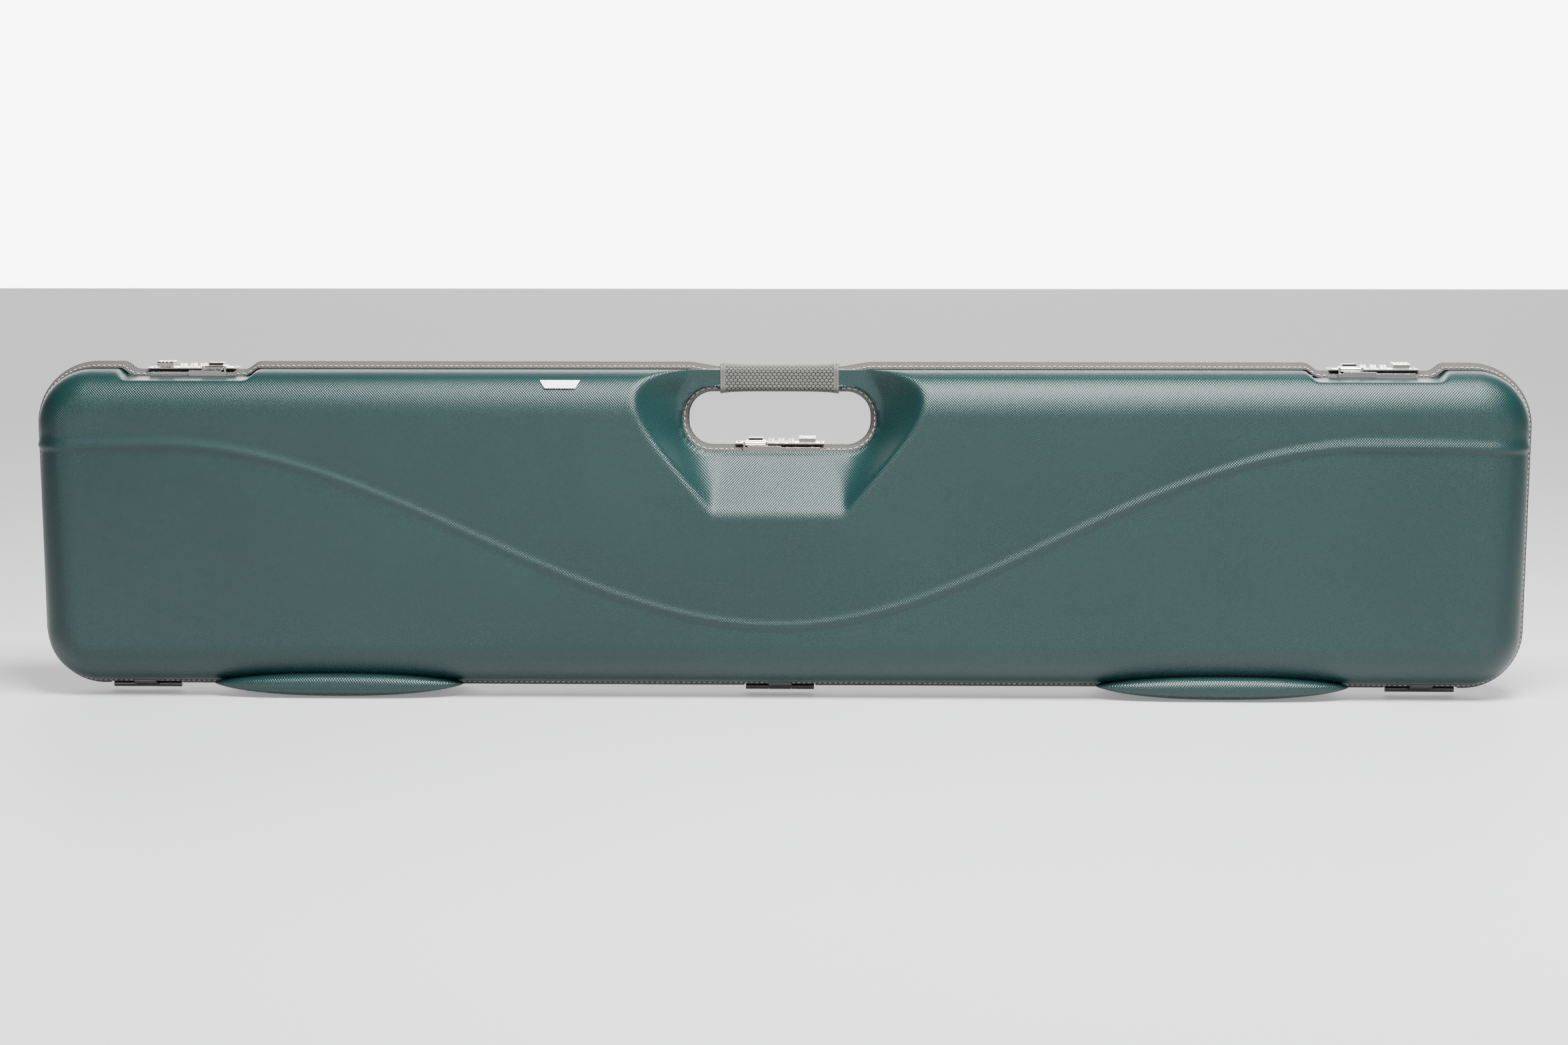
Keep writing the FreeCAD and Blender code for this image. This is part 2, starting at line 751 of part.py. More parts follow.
def lock_rivets(lock):
    """The two rivet heads at the ends of the lock's plate."""
    heads = []
    for count, side in enumerate((-1, 1)):
        place = lock.across + (size("plate_half") - 2.6) * side
        heads.append(stud(f"{lock.name}_rivet_{count}", 1.5, place, 7.0,
                          lock.seat + "plate_top", lock.seat + "plate_top" + 0.7))
    return heads


recess_seat = size("case_top") - "recess_drop"
locks = [Lock("left", -size("lock_place"), recess_seat, 1),
         Lock("centre", 0, "hole_floor", -1),
         Lock("right", "lock_place", recess_seat, -1)]
rivets = []
wells = {}
for lock in locks:
    wells[lock.name] = lock_wells(lock)
    lock_body(lock)
    lock_wheels(lock)
    lock_button(lock)
    hasp_bracket(lock)
    hasp(lock)
    rivets += lock_rivets(lock)
keep(group("lock_rivets", rivets))
keep(cut("base_edge_trim", base_trim_blank, [wells["left"], wells["right"]]))
keep(cut("base_hand_hole_trim", base_hole_blank, [wells["centre"]]))

# ---------------------------------------------------------------- check and write

doc.recompute()
failed = [item.Label for item in doc.Objects
          if "Invalid" in item.State or "Error" in item.State]
unsound = [item.Label for item in nodes
           if item.Shape.isNull() or not item.Shape.isValid() or not item.Shape.Solids]
if failed or unsound:
    raise RuntimeError(f"failed features: {failed}; unsound nodes: {unsound}")
os.makedirs("parts", exist_ok=True)
for item in nodes:
    item.Shape.exportStep(f"parts/{item.Label}.step")
    reach = item.Shape.BoundBox
    print(f"{item.Label}: {len(item.Shape.Solids)} solid(s), {item.Shape.Volume / 1000:.2f} cm3, "
          f"x {reach.XMin:.1f}..{reach.XMax:.1f} y {reach.YMin:.1f}..{reach.YMax:.1f} "
          f"z {reach.ZMin:.1f}..{reach.ZMax:.1f}")
print(f"{len(nodes)} nodes")
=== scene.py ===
import math

import bmesh
import bpy
import numpy as np
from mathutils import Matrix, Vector


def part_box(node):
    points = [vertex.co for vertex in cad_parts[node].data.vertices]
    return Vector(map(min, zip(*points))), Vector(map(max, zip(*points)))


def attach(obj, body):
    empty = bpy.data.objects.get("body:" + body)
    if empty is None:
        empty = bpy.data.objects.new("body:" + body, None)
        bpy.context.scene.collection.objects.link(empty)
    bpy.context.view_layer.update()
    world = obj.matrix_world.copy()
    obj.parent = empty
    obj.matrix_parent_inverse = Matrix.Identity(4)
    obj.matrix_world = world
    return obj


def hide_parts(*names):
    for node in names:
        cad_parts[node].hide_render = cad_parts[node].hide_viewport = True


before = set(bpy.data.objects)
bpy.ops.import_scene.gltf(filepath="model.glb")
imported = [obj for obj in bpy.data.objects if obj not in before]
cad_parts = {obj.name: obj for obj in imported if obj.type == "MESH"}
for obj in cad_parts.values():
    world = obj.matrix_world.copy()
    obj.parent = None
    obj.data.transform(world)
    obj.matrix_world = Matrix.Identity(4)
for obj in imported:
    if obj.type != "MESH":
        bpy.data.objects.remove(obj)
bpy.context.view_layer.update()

mm = 0.001
lockNames = ("left", "centre", "right")
sin60 = 0.8660254

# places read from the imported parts
rimLow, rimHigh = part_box("lid_edge_trim")
shellLow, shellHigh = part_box("lid_shell")
holeLow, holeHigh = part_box("lid_hand_hole_trim")
sleeveLow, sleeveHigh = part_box("lid_grip_sleeve")
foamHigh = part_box("lid_foam")[1]
lockBoxes = {name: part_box(name + "_lock_body") for name in lockNames}
lockMiddles = {name: (low.x + high.x) / 2 for name, (low, high) in lockBoxes.items()}

trim = {
    "rise": 5.4 * mm,                    # height of the binding above the shell
    "depth": 13.5 * mm,                  # how far it laps over the front
    "fall": 4.4 * mm,                    # how far its slope drops towards the front
    "step": 1.5 * mm,
    "stitchRow": 10.6 * mm,
    "stitchPitch": 4.6 * mm,
    "stitchLong": 3.3 * mm,
    "stitchThick": 0.42 * mm,
    # radius of the near-black tube under the binding's edge, a painted shadow line
    "shadowLineRadius": 0.5 * mm,
}

case = {
    "half": shellHigh.x + 0.1 * mm,      # shell outline at the seam, before the draft
    "lean": 5.0 * mm,
    "top": shellHigh.z,
    "bottom": rimLow.z + trim["rise"],
    "seam": 0.15 * mm,
    "depth": -shellLow.y,
    "cornerTop": 50 * mm,
    "cornerLow": 46 * mm,
    "round": 38 * mm,                    # rounding between sides and front face
    "draft": math.radians(2.5),
    "crown": 1.2 * mm,                   # how far the front face swells in its middle
    "thick": 2.4 * mm,
    "recessDrop": 7.0 * mm,              # how far the lock seats lie below the top edge
    "recessHalf": 54 * mm,
    "recessSlope": 9 * mm,
}

# small mesh tools


def addObject(name, mesh):
    obj = bpy.data.objects.new(name, mesh)
    bpy.context.scene.collection.objects.link(obj)
    return obj


def newMesh(name, verts, faces, smooth=True):
    mesh = bpy.data.meshes.new(name)
    mesh.from_pydata([tuple(v) for v in verts], [], [tuple(f) for f in faces])
    mesh.validate()
    mesh.polygons.foreach_set("use_smooth", [smooth] * len(mesh.polygons))
    mesh.update()
    return addObject(name, mesh)


def gridFaces(rows, cols, closedU=False, closedV=False, start=0):
    faces = []
    for r in range(rows if closedU else rows - 1):
        up = (r + 1) % rows
        for c in range(cols if closedV else cols - 1):
            right = (c + 1) % cols
            faces.append((start + r * cols + c, start + r * cols + right,
                          start + up * cols + right, start + up * cols + c))
    return faces


def gridMesh(name, points, closedU=False, closedV=False, alongU=None, alongV=None):
    rows, cols = points.shape[:2]
    obj = newMesh(name, points.reshape(-1, 3), gridFaces(rows, cols, closedU, closedV))
    if alongU is not None:               # lengths along the piece, one more than rows where it closes
        layer = obj.data.uv_layers.new(name="lengths")
        data = np.zeros((len(obj.data.loops), 2), np.float32)
        spot = 0
        for r in range(rows if closedU else rows - 1):
            for c in range(cols if closedV else cols - 1):
                data[spot:spot + 4] = ((alongU[r], alongV[c]), (alongU[r], alongV[c + 1]),
                                       (alongU[r + 1], alongV[c + 1]), (alongU[r + 1], alongV[c]))
                spot += 4
        layer.data.foreach_set("uv", data.ravel())
    return obj


def tubeFaces(rings, sides, start):      # a short tube closed at both ends
    last = start + (rings - 1) * sides
    ends = [tuple(start + j for j in range(sides)), tuple(last + j for j in reversed(range(sides)))]
    return gridFaces(rings, sides, closedV=True, start=start) + ends


def runLengths(line):                    # the length along a line of points, up to each of them
    return np.concatenate([[0], np.cumsum(np.linalg.norm(np.diff(line, axis=0), axis=1))])


def smoothstep(low, high, value):
    t = np.clip((value - low) / (high - low), 0, 1)
    return t * t * (3 - 2 * t)


def softMin(a, b, k):                    # the two surfaces meet in a fillet about k wide
    h = np.clip(0.5 + 0.5 * (b - a) / k, 0, 1)
    return b + (a - b) * h - k * h * (1 - h)


def softMax(a, b, k):
    return -softMin(-a, -b, k)


def roundedBox(x, z, half, low, high, radius):   # distance to a rounded rectangle, negative inside
    middle = (low + high) / 2
    qx = np.abs(x) - half + radius
    qz = np.abs(z - middle) - (high - low) / 2 + radius
    outside = np.hypot(np.maximum(qx, 0), np.maximum(qz, 0))
    return outside + np.minimum(np.maximum(qx, qz), 0) - radius


def hexCells(u, v, pitch, squash=1.0):   # 0 in the middle of a honeycomb cell, 1 at its edge
    v = v / squash
    tall = pitch * math.sqrt(3)

    def reach(shiftU, shiftV):
        a = np.abs(np.mod(u + shiftU, pitch) - pitch / 2)
        b = np.abs(np.mod(v + shiftV, tall) - tall / 2)
        return np.maximum(a, 0.5 * a + sin60 * b)
    return np.minimum(reach(0, 0), reach(pitch / 2, tall / 2)) / (pitch / 2)


def applyModifiers(obj):
    deps = bpy.context.evaluated_depsgraph_get()
    mesh = bpy.data.meshes.new_from_object(obj.evaluated_get(deps))
    obj.modifiers.clear()
    obj.data = mesh
    return obj


def joined(name, pieces):
    bpy.ops.object.select_all(action="DESELECT")
    for piece in pieces:
        piece.select_set(True)
    bpy.context.view_layer.objects.active = pieces[0]
    if len(pieces) > 1:
        bpy.ops.object.join()
    pieces[0].name = name
    pieces[0].data.name = name
    return pieces[0]


def storeEmboss(obj, values):            # 1 where the crossed texture shows, 0 where the plastic is plain
    layer = obj.data.attributes.new("emboss", "FLOAT", "POINT")
    layer.data.foreach_set("value", values.astype(np.float32))


def mirrorY(obj, name):                  # the same mesh on the base's side of the seam
    mesh = obj.data.copy()
    for v in mesh.vertices:
        v.co.y = -v.co.y
    mesh.flip_normals()
    return addObject(name, mesh)


def outwards(obj):                       # faces turned to look out of the piece
    work = bmesh.new()
    work.from_mesh(obj.data)
    bmesh.ops.recalc_face_normals(work, faces=work.faces)
    work.to_mesh(obj.data)
    work.free()
    return obj


def settle(obj, body, slot, *nodes):     # where a piece rides, and what it stands for
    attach(obj, body)
    if nodes:
        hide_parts(*nodes)
    return obj


def roundedPath(corners, step):          # closed outline from (x, z, radius) corners
    closest = 0.12 * mm
    count = len(corners)
    spots = [Vector((c[0], c[1])) for c in corners]
    points = []
    for i in range(count):
        before, here, after = spots[i - 1], spots[i], spots[(i + 1) % count]
        come = (here - before).normalized()
        go = (after - here).normalized()
        turn = math.atan2(come.x * go.y - come.y * go.x, come.dot(go))
        radius = corners[i][2]
        reach = abs(radius * math.tan(turn / 2))
        start = here - come * reach
        side = Vector((-come.y, come.x)) * (1 if turn > 0 else -1)
        centre = start + side * radius
        pieces = max(2, int(abs(turn) * radius / step))
        for k in range(pieces + 1):
            angle = turn * k / pieces
            arm = start - centre
            points.append(centre + Vector((arm.x * math.cos(angle) - arm.y * math.sin(angle),
                                           arm.x * math.sin(angle) + arm.y * math.cos(angle))))
        end = here + go * reach
        nextTurn = spots[(i + 2) % count] - after
        turnAfter = math.atan2(go.x * nextTurn.y - go.y * nextTurn.x, go.dot(nextTurn))
        stop = after - go * abs(corners[(i + 1) % count][2] * math.tan(turnAfter / 2))
        run = (stop - end).length
        for k in range(1, int(run / step)):
            points.append(end + (stop - end) * k / int(run / step))
    kept = [points[0]]
    for point in points[1:]:
        if (point - kept[-1]).length > closest:
            kept.append(point)
    if (kept[-1] - kept[0]).length < closest:
        kept.pop()
    pts = np.array([tuple(p) for p in kept])
    ahead = np.roll(pts, -1, 0) - np.roll(pts, 1, 0)
    ahead /= np.linalg.norm(ahead, axis=1)[:, None]
    return pts, np.column_stack([-ahead[:, 1], ahead[:, 0]]), runLengths(np.vstack([pts, pts[:1]]))


# materials


class NodeTree:                          # a thin helper round a material's nodes

    def __init__(self, name):
        self.material = bpy.data.materials.new(name)
        self.material.use_nodes = True
        self.nodes = self.material.node_tree.nodes
        self.links = self.material.node_tree.links
        self.shader = self.nodes["Principled BSDF"]
        self.coords = None

    def add(self, kind, **settings):
        node = self.nodes.new(kind)
        for key, value in settings.items():
            setattr(node, key, value)
        return node

    def math(self, operation, a, b=None, clamp=False):
        node = self.add("ShaderNodeMath", operation=operation, use_clamp=clamp)
        for socket, value in zip(node.inputs, (a, b)):
            if value is None:
                continue
            if hasattr(value, "is_output"):
                self.links.new(value, socket)
            else:
                socket.default_value = value
        return node.outputs[0]

    def total(self, *terms):
        made = terms[0]
        for term in terms[1:]:
            made = self.math("ADD", made, term)
        return made

    def ramp(self, value, stops):
        node = self.add("ShaderNodeValToRGB")
        elements = node.color_ramp.elements
        while len(elements) < len(stops):
            elements.new(0.5)
        for element, (place, colour) in zip(elements, stops):
            element.position = place
            element.color = (*colour, 1)
        self.links.new(value, node.inputs[0])
        return node.outputs[0]

    def noise(self, scale, detail=3, rough=0.5, where=None):
        node = self.add("ShaderNodeTexNoise")
        node.inputs["Scale"].default_value = scale
        node.inputs["Detail"].default_value = detail
        node.inputs["Roughness"].default_value = rough
        self.links.new(where or self.place(), node.inputs["Vector"])
        return node.outputs["Fac"]

    def place(self):
        if self.coords is None:
            self.coords = self.add("ShaderNodeTexCoord")
        return self.coords.outputs["Object"]

    def lengths(self):
        node = self.add("ShaderNodeUVMap", uv_map="lengths")
        parts = self.add("ShaderNodeSeparateXYZ")
        self.links.new(node.outputs[0], parts.inputs[0])
        return parts.outputs[0], parts.outputs[1]

    def bump(self, height, distance, strength=1.0, normal=None):
        node = self.add("ShaderNodeBump")
        node.inputs["Distance"].default_value = distance
        node.inputs["Strength"].default_value = strength
        self.links.new(height, node.inputs["Height"])
        if normal is not None:
            self.links.new(normal, node.inputs["Normal"])
        return node.outputs[0]

    def finish(self, colour, rough, normal):
        self.links.new(colour, self.shader.inputs["Base Color"])
        self.links.new(rough, self.shader.inputs["Roughness"])
        self.links.new(normal, self.shader.inputs["Normal"])
        return self.material


shellLook = {
    "colour": (0.0025, 0.014, 0.0135),
    "colourWorn": (0.007, 0.028, 0.027),
    "roughness": 0.33,
    "specular": 0.36,
    "pitch": 1.62 * mm,
    "depth": 0.13 * mm,
    "sideGain": (1.0, 1.7, 1.0),         # how soon each axis takes over the texture
    "sideSharp": 24,
}


def shellMaterial():                     # satin plastic with a fine crossed emboss, plain on the bevels
    tree = NodeTree("mouldedShell")
    place = tree.add("ShaderNodeSeparateXYZ")
    facing = tree.add("ShaderNodeSeparateXYZ")
    tree.links.new(tree.place(), place.inputs[0])
    tree.links.new(tree.coords.outputs["Normal"], facing.inputs[0])
    x, y, z = place.outputs
    turn = 2 * math.pi / shellLook["pitch"] * math.sqrt(0.5)

    def crossed(first, second):
        a = tree.math("MULTIPLY", first, turn)
        b = tree.math("MULTIPLY", second, turn)
        one = tree.math("SINE", tree.math("ADD", a, b))
        two = tree.math("SINE", tree.math("SUBTRACT", a, b))
        return tree.math("MULTIPLY", tree.math("ADD", one, two), 0.5)
    weights = [tree.math("POWER", tree.math("MULTIPLY", tree.math("ABSOLUTE", part), gain),
                         shellLook["sideSharp"])
               for part, gain in zip(facing.outputs, shellLook["sideGain"])]
    whole = tree.total(*weights, 0.0001)
    layers = [crossed(y, z), crossed(x, z), crossed(x, y)]
    weave = tree.total(*[tree.math("MULTIPLY", layer, tree.math("DIVIDE", weight, whole))
                         for layer, weight in zip(layers, weights)])
    mask = tree.add("ShaderNodeAttribute", attribute_name="emboss").outputs["Fac"]
    weave = tree.math("MULTIPLY", weave, mask)
    cloud = tree.noise(7, 4, 0.55)
    speck = tree.noise(420, 2, 0.6)
    tone = tree.total(tree.math("MULTIPLY", cloud, 0.45), tree.math("MULTIPLY", weave, 0.34), 0.12)
    colour = tree.ramp(tone, [(0.02, shellLook["colour"]), (0.75, shellLook["colourWorn"])])
    rough = tree.total(tree.math("MULTIPLY", speck, 0.10), shellLook["roughness"] - 0.05)
    normal = tree.bump(weave, shellLook["depth"])
    normal = tree.bump(speck, 0.02 * mm, 0.5, normal)
    tree.shader.inputs["Specular IOR Level"].default_value = shellLook["specular"]
    return tree.finish(colour, rough, normal)


def honeycomb(tree, pitch, squash):      # the same cells as hexCells, worked out in the shader
    u, v = tree.lengths()
    v = tree.math("DIVIDE", v, squash)
    tall = pitch * math.sqrt(3)

    def wrapped(value, shift, size):
        inside = tree.math("FLOORED_MODULO", tree.math("ADD", value, shift), size)
        return tree.math("ABSOLUTE", tree.math("SUBTRACT", inside, size / 2))

    def reach(shiftU, shiftV):
        a = wrapped(u, shiftU, pitch)
        b = wrapped(v, shiftV, tall)
        slant = tree.math("ADD", tree.math("MULTIPLY", a, 0.5), tree.math("MULTIPLY", b, sin60))
        return tree.math("MAXIMUM", a, slant)
    nearest = tree.math("MINIMUM", reach(0, 0), reach(pitch / 2, tall / 2))
    return tree.math("DIVIDE", nearest, pitch / 2)


def leatherMaterial(name, light, dark, pitch, squash, depth):
    tree = NodeTree(name)                # embossed leatherette: honeycomb cells with dark joints
    cell = honeycomb(tree, pitch, squash)
    joint = tree.add("ShaderNodeMapRange", interpolation_type="SMOOTHSTEP")
    joint.inputs["From Min"].default_value = 0.97
    joint.inputs["From Max"].default_value = 0.66
    tree.links.new(cell, joint.inputs["Value"])
    dome = joint.outputs[0]
    grain = tree.noise(1100, 4, 0.65)
    cloud = tree.noise(70, 3, 0.5)
    tone = tree.total(tree.math("MULTIPLY", dome, 0.70), tree.math("MULTIPLY", grain, 0.20),
                      tree.math("MULTIPLY", cloud, 0.16))
    middle = tuple(0.5 * a + 0.5 * b for a, b in zip(light, dark))
    colour = tree.ramp(tone, [(0.12, dark), (0.45, middle), (0.90, light)])
    rough = tree.math("SUBTRACT", 0.74, tree.math("MULTIPLY", dome, 0.20))
    tree.shader.inputs["Specular IOR Level"].default_value = 0.22
    normal = tree.bump(dome, depth)
    normal = tree.bump(grain, 0.06 * mm, 0.6, normal)
    return tree.finish(colour, rough, normal)


def plainMaterial(name, colour, roughness, metallic=0.0, grainScale=600, grainDepth=0.01 * mm,
                  vary=0.12, coat=0.0):
    tree = NodeTree(name)                # one finish with a little cloud in its tone and a fine grain
    cloud = tree.noise(60, 3, 0.5)
    grain = tree.noise(grainScale, 3, 0.6)
    darker = tuple(c * (1 - vary) for c in colour)
    lighter = tuple(min(1, c * (1 + vary)) for c in colour)
    tree.shader.inputs["Metallic"].default_value = metallic
    tree.shader.inputs["Coat Weight"].default_value = coat
    rough = tree.total(tree.math("MULTIPLY", grain, 0.08), roughness - 0.04)
    return tree.finish(tree.ramp(cloud, [(0.3, darker), (0.7, lighter)]), rough,
                       tree.bump(grain, grainDepth, 0.5))


def foamMaterial():                      # open-cell foam: fine pores, with painted shade darkening their valleys
    tree = NodeTree("liningFoam")
    pores = tree.add("ShaderNodeTexVoronoi")
    pores.inputs["Scale"].default_value = 900
    tree.links.new(tree.place(), pores.inputs["Vector"])
    cloud = tree.noise(30, 4, 0.6)
    tone = tree.total(tree.math("MULTIPLY", pores.outputs["Distance"], 0.6),
                      tree.math("MULTIPLY", cloud, 0.5))
    # the ramp darkens where the pore bump is low: painted shade in the pores
    colour = tree.ramp(tone, [(0.15, (0.012, 0.012, 0.014)), (0.85, (0.060, 0.060, 0.066))])
    rough = tree.total(tree.math("MULTIPLY", cloud, 0.06), 0.90)
    tree.shader.inputs["Sheen Weight"].default_value = 0.25
    return tree.finish(colour, rough, tree.bump(pores.outputs["Distance"], 0.35 * mm))


def webbingMaterial():                   # ribs across the strap and a crossed fine weave
    tree = NodeTree("strapWebbing")
    u, v = tree.lengths()
    ribs = tree.math("SINE", tree.math("MULTIPLY", u, 2 * math.pi / (1.3 * mm)))
    warp = tree.math("SINE", tree.math("MULTIPLY", v, 2 * math.pi / (1.0 * mm)))
    weave = tree.math("ADD", tree.math("MULTIPLY", ribs, 0.25), tree.math("MULTIPLY", warp, 0.25))
    tone = tree.total(weave, tree.math("MULTIPLY", tree.noise(500, 3, 0.6), 0.4), 0.3)
    colour = tree.ramp(tone, [(0.1, (0.008, 0.008, 0.010)), (0.9, (0.045, 0.045, 0.050))])
    rough = tree.total(tree.math("MULTIPLY", tone, 0.15), 0.68)
    return tree.finish(colour, rough, tree.bump(weave, 0.25 * mm))


def brushedMaterial(name, colour, roughness):   # metal with fine lines along it
    tree = NodeTree(name)
    scaled = tree.add("ShaderNodeMapping")
    scaled.inputs["Scale"].default_value = (1.0, 40.0, 40.0)
    tree.links.new(tree.place(), scaled.inputs["Vector"])
    lines = tree.noise(120, 3, 0.6, scaled.outputs[0])
    tree.shader.inputs["Metallic"].default_value = 1.0
    rough = tree.total(tree.math("MULTIPLY", lines, 0.14), roughness - 0.06)
    return tree.finish(tree.ramp(lines, [(0.3, tuple(c * 0.8 for c in colour)), (0.7, colour)]),
                       rough, tree.bump(lines, 0.02 * mm, 0.4))


hexes = {"trimPitch": 2.9 * mm, "trimSquash": 0.82, "gripPitch": 3.75 * mm, "gripSquash": 0.80}

looks = {
    "shell": shellMaterial(),
    "trim": leatherMaterial("trimLeatherette", (0.095, 0.093, 0.086), (0.004, 0.004, 0.0035),
                            hexes["trimPitch"], hexes["trimSquash"], 0.45 * mm),
    "grip": leatherMaterial("gripLeatherette", (0.085, 0.085, 0.077), (0.003, 0.003, 0.003),
                            hexes["gripPitch"], hexes["gripSquash"], 0.12 * mm),
    "hem": plainMaterial("hemLeatherette", (0.075, 0.075, 0.068), 0.66, grainScale=900,
                         grainDepth=0.08 * mm, vary=0.25),
    "thread": plainMaterial("stitchThread", (0.50, 0.47, 0.42), 0.7, vary=0.2),
    "threadDark": plainMaterial("hemThread", (0.035, 0.035, 0.035), 0.7, vary=0.2),
    # near-black finish for the tube under the binding: painted shadow
    "paintedShadowLine": plainMaterial("paintedShadowMaterial", (0.010, 0.012, 0.013), 0.6),
    "foam": foamMaterial(),
    "webbing": webbingMaterial(),
    "chrome": plainMaterial("lockChrome", (0.83, 0.80, 0.77), 0.13, 1.0, 900, 0.006 * mm, 0.05),
    "hinge": brushedMaterial("hingeSteel", (0.10, 0.10, 0.105), 0.40),
    "wheel": plainMaterial("wheelPlastic", (0.80, 0.77, 0.73), 0.30, vary=0.06),
    "red": plainMaterial("digitRed", (0.50, 0.012, 0.015), 0.4, vary=0.1),
    "dark": plainMaterial("digitDark", (0.02, 0.02, 0.022), 0.4, vary=0.1),
    "plate": plainMaterial("plateWhite", (0.86, 0.87, 0.87), 0.20, vary=0.02, coat=0.5),
}


def dress(obj, *names):
    obj.data.materials.clear()
    for name in names:
        obj.data.materials.append(looks[name])
    return obj


print("materials made")

# the moulded shells

shellForm = {
    "stepX": 3.0 * mm,
    "stepZ": 2.2 * mm,
    "sideRows": 46,
    "cornerCols": 26,
    "waveEnds": 219 * mm,                # level of the crease at the case's ends
    "waveLow": 64 * mm,                  # its lowest level, under the handle
    "waveFar": 540 * mm,                 # where the crease levels out, on the left
    "waveFarRight": 502 * mm,
    "waveDroop": 2.0 * mm,
    "slopeWide": 11 * mm,                # width of the slope above the crease
    "creaseDeep": 2.4 * mm,
    "stepWide": 2.4 * mm,
    "easing": 42 * mm,                   # how softly the faces run out beside the crease
    "lineDeep": 0.45 * mm,               # a fine line above the slope
    "lineWide": 1.2 * mm,
    "endsFrom": 0.34,                    # where the slope starts to widen towards an end
    "endsTo": 0.56,
    "faceSoft": 26 * mm,                 # how deep the rounding into the front face reaches
}

scoopForm = {
    "floor": 15.5 * mm,                  # depth of the bar and of the hollow's floor
    "wide": 131 * mm,                    # half width of the hollow at its widest
    "footHalf": 57 * mm,                 # half width of its flat foot
    "footLow": 162 * mm,                 # level of the foot's lower edge
    "footHigh": 209 * mm,                # where the foot's facet reaches the floor
    "shoulder": 254 * mm,                # level of the widest place
    "lip": 5 * mm,
    "throat": 1.5 * mm,                  # flat border round the hand hole
    "throatRadius": 27 * mm,
    "neck": 11 * mm,                     # how far the flat border draws in beside the bar
    "neckLow": 258 * mm,
    "neckHigh": 284 * mm,
    "soft": 26 * mm,                     # rounding where a side meets its slanting edge
}

foot = {
    "place": 384 * mm,
    "half": 110 * mm,
    "tall": 22 * mm,
    "inner": 14 * mm,
    "outer": 55 * mm,
    "rows": 72,
    "cols": 36,
}


def waveLevel(x):                        # level of the crease: low under the handle, one long S to each end
    t = np.clip(np.abs(x) / np.where(x > 0, shellForm["waveFarRight"], shellForm["waveFar"]), 0, 1)
    s = 0.5 - 0.5 * np.cos(math.pi * t ** 0.97)
    level = shellForm["waveLow"] + (shellForm["waveEnds"] - shellForm["waveLow"]) * s
    return level - smoothstep(0.52, 0.65, np.abs(x)) * shellForm["waveDroop"]


def sideProfile(q):                      # inset from the rim and depth, after a run of q from the seam
    slant = math.sin(case["draft"])
    upright = math.cos(case["draft"])
    straightRun = (case["depth"] - case["seam"] - case["round"] * (1 - slant)) / upright
    arcRun = case["round"] * (math.pi / 2 - case["draft"])
    turn = np.clip((q - straightRun) / case["round"], 0, math.pi / 2 - case["draft"]) + case["draft"]
    base = straightRun * slant
    arcInset = base + case["round"] * (upright - np.cos(turn))
    arcDeep = case["depth"] - case["round"] * (1 - np.sin(turn))
    past = np.maximum(q - straightRun - arcRun, 0)
    inset = np.where(q < straightRun, q * slant, arcInset + past)
    deep = np.where(q < straightRun, case["seam"] + q * upright, arcDeep)
    return inset, deep


def strip(start, end, outA, outB, radiusA, radiusB, count, steps, profile):
    along = np.linspace(0, 1, count + 1)     # rows outwards from the inner edge to the rim
    radius = radiusA + (radiusB - radiusA) * along
    inner = np.array(start)[None, :] + (np.array(end) - np.array(start))[None, :] * along[:, None]
    out = np.array(outA)[None, :] + (np.array(outB) - np.array(outA))[None, :] * along[:, None]
    out /= np.linalg.norm(out, axis=1)[:, None]
    layers = []
    for s in steps:
        spread, deep = profile(radius, s)
        layers.append(np.column_stack([inner[:, 0] + out[:, 0] * spread, -deep,
                                       inner[:, 1] + out[:, 1] * spread]))
    return np.array(layers)


def fan(centre, startOut, endOut, radius, count, steps, profile):
    a = math.atan2(startOut[1], startOut[0])
    b = math.atan2(endOut[1], endOut[0])
    while b < a:
        b += 2 * math.pi
    angles = np.linspace(a, b, count + 1)
    layers = []
    for s in steps:
        spread, deep = profile(np.full(len(angles), radius), s)
        layers.append(np.column_stack([centre[0] + np.cos(angles) * spread, -deep,
                                       centre[1] + np.sin(angles) * spread]))
    return np.array(layers)


